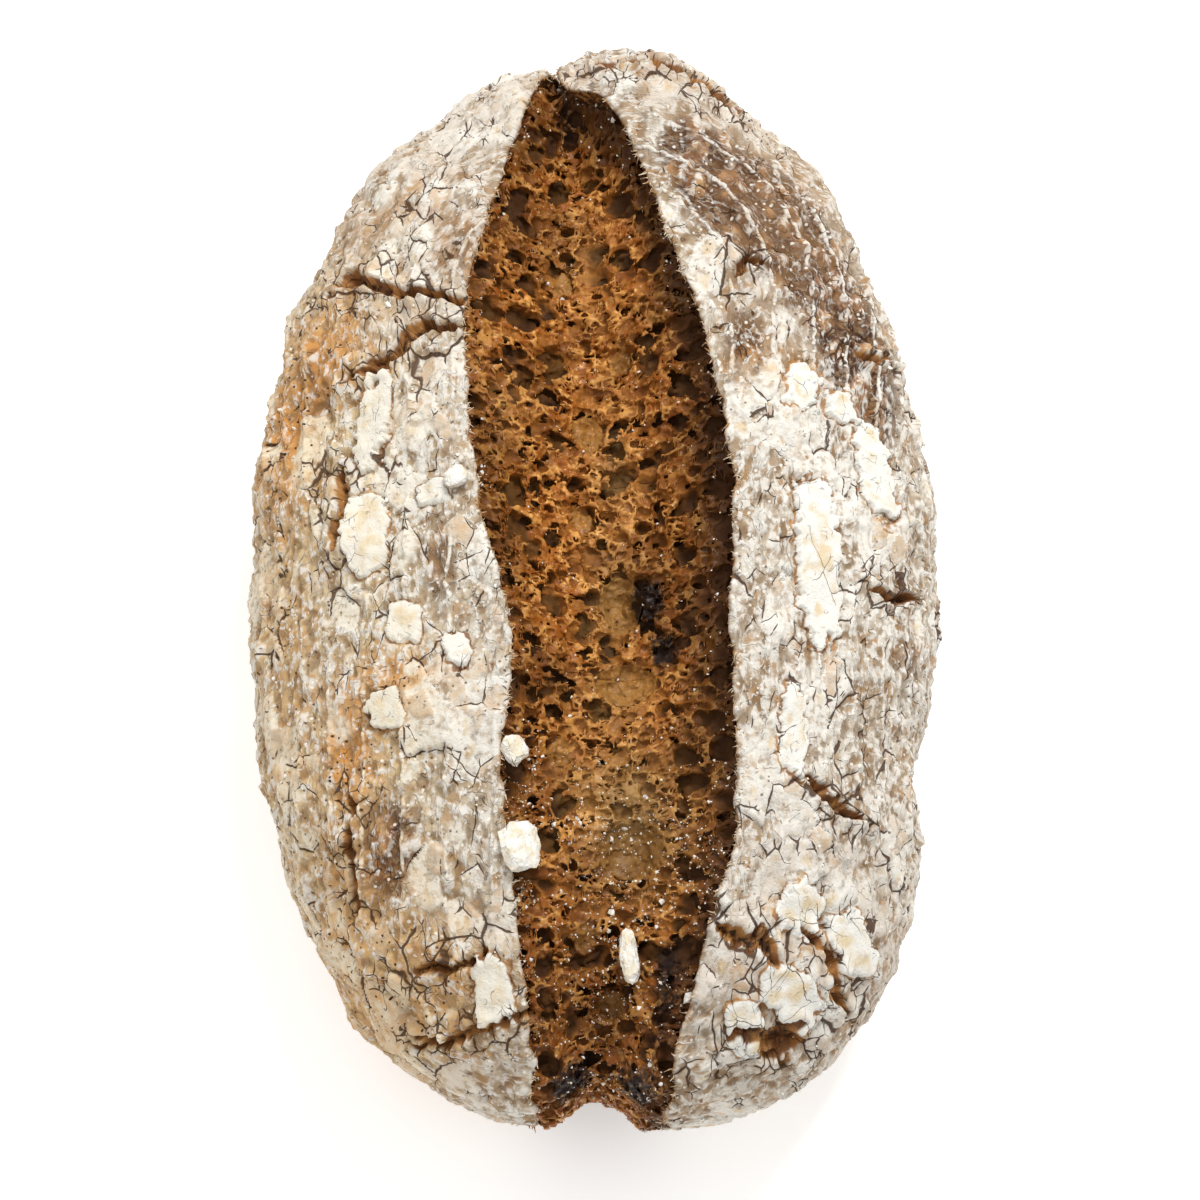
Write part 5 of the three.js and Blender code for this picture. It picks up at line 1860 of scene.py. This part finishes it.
# %% [markdown]
# ## Camera, light and floor
# The photograph looks down on the loaf from a steep angle with a long lens. The camera stands on a line
# from the middle of the picture, 70 degrees up, and its lens is as long as the picture's width needs.

# %% Camera
ELEVATION = math.radians(70.0)
CAMERA_DISTANCE = 1050.0
FRAME_WIDTH = 282.7                      # what the picture shows across, at that distance
SENSOR = 36.0
AIM = (1.9, -8.4, 40.9)

camera_data = bpy.data.cameras.new("camera")
camera = bpy.data.objects.new("camera", camera_data)
bpy.context.scene.collection.objects.link(camera)
camera_data.sensor_width = SENSOR
camera_data.lens = SENSOR * CAMERA_DISTANCE / FRAME_WIDTH
camera_data.clip_end = 10.0
back = Vector((0.0, -math.cos(ELEVATION), math.sin(ELEVATION)))
camera.location = (Vector(AIM) + back * CAMERA_DISTANCE) * MM
camera.rotation_euler = back.to_track_quat("Z", "Y").to_euler()
bpy.context.scene.camera = camera
bpy.context.scene.view_settings.view_transform = "Standard"
print("lens:", round(camera_data.lens), "mm")

# %% [markdown]
# Soft light comes from all round, with a little more from above and behind on the right, where the
# photograph's window is. A weak wide lamp on the left keeps the shaded side open.

# %% Light
room = bpy.data.worlds.new("soft_room")
room.use_nodes = True
background = room.node_tree.nodes["Background"]
background.inputs["Color"].default_value = (1.0, 0.995, 0.985, 1.0)
background.inputs["Strength"].default_value = 0.64
bpy.context.scene.world = room


def soft_light(name, place, size, power):
    """A square lamp that looks at the loaf."""
    lamp = bpy.data.lights.new(name, "AREA")
    lamp.size = size
    lamp.energy = power
    holder = bpy.data.objects.new(name, lamp)
    bpy.context.scene.collection.objects.link(holder)
    holder.location = place
    holder.rotation_euler = Vector(place).to_track_quat("Z", "Y").to_euler()
    print(name + ":", power, "W")


soft_light("window", (0.35, 0.65, 1.25), 0.45, 15.0)
soft_light("fill", (-0.7, 0.1, 1.3), 1.2, 3.0)

# %% [markdown]
# The table is plain white and bright enough to vanish in the picture, so it also glows a little. It lies
# just under the loaf and belongs to the stage, not to the part.

# %% Floor
FLOOR_REACH = 3000.0
FLOOR_DROP = 0.2
FLOOR_GLOW = 0.37

around = ((-1, -1), (1, -1), (1, 1), (-1, 1))
floor_corners = [(x * FLOOR_REACH, y * FLOOR_REACH, -FLOOR_DROP) for x, y in around]
floor = show("floor", mesh_of("floor", floor_corners, [(0, 1, 2, 3)]))
floor_finish, _, floor_sockets = new_material("white_floor")
floor_sockets["Base Color"].default_value = (0.97, 0.97, 0.97, 1.0)
floor_sockets["Roughness"].default_value = 0.9
floor_sockets["Emission Color"].default_value = (1.0, 1.0, 1.0, 1.0)
floor_sockets["Emission Strength"].default_value = FLOOR_GLOW
floor.data.materials.append(floor_finish)
print("floor:", round(2 * FLOOR_REACH * MM), "m wide")

# %% [markdown]
# ## Hand over
# Every piece rides on the loaf's only body and has a finish. The crust takes the place of the CAD loaf.

# %% Hand over to the frame
for piece in crust_pieces + [base]:
    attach(piece, "root")
for piece in crumb_pieces:
    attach(piece, "root")
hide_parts("loaf")
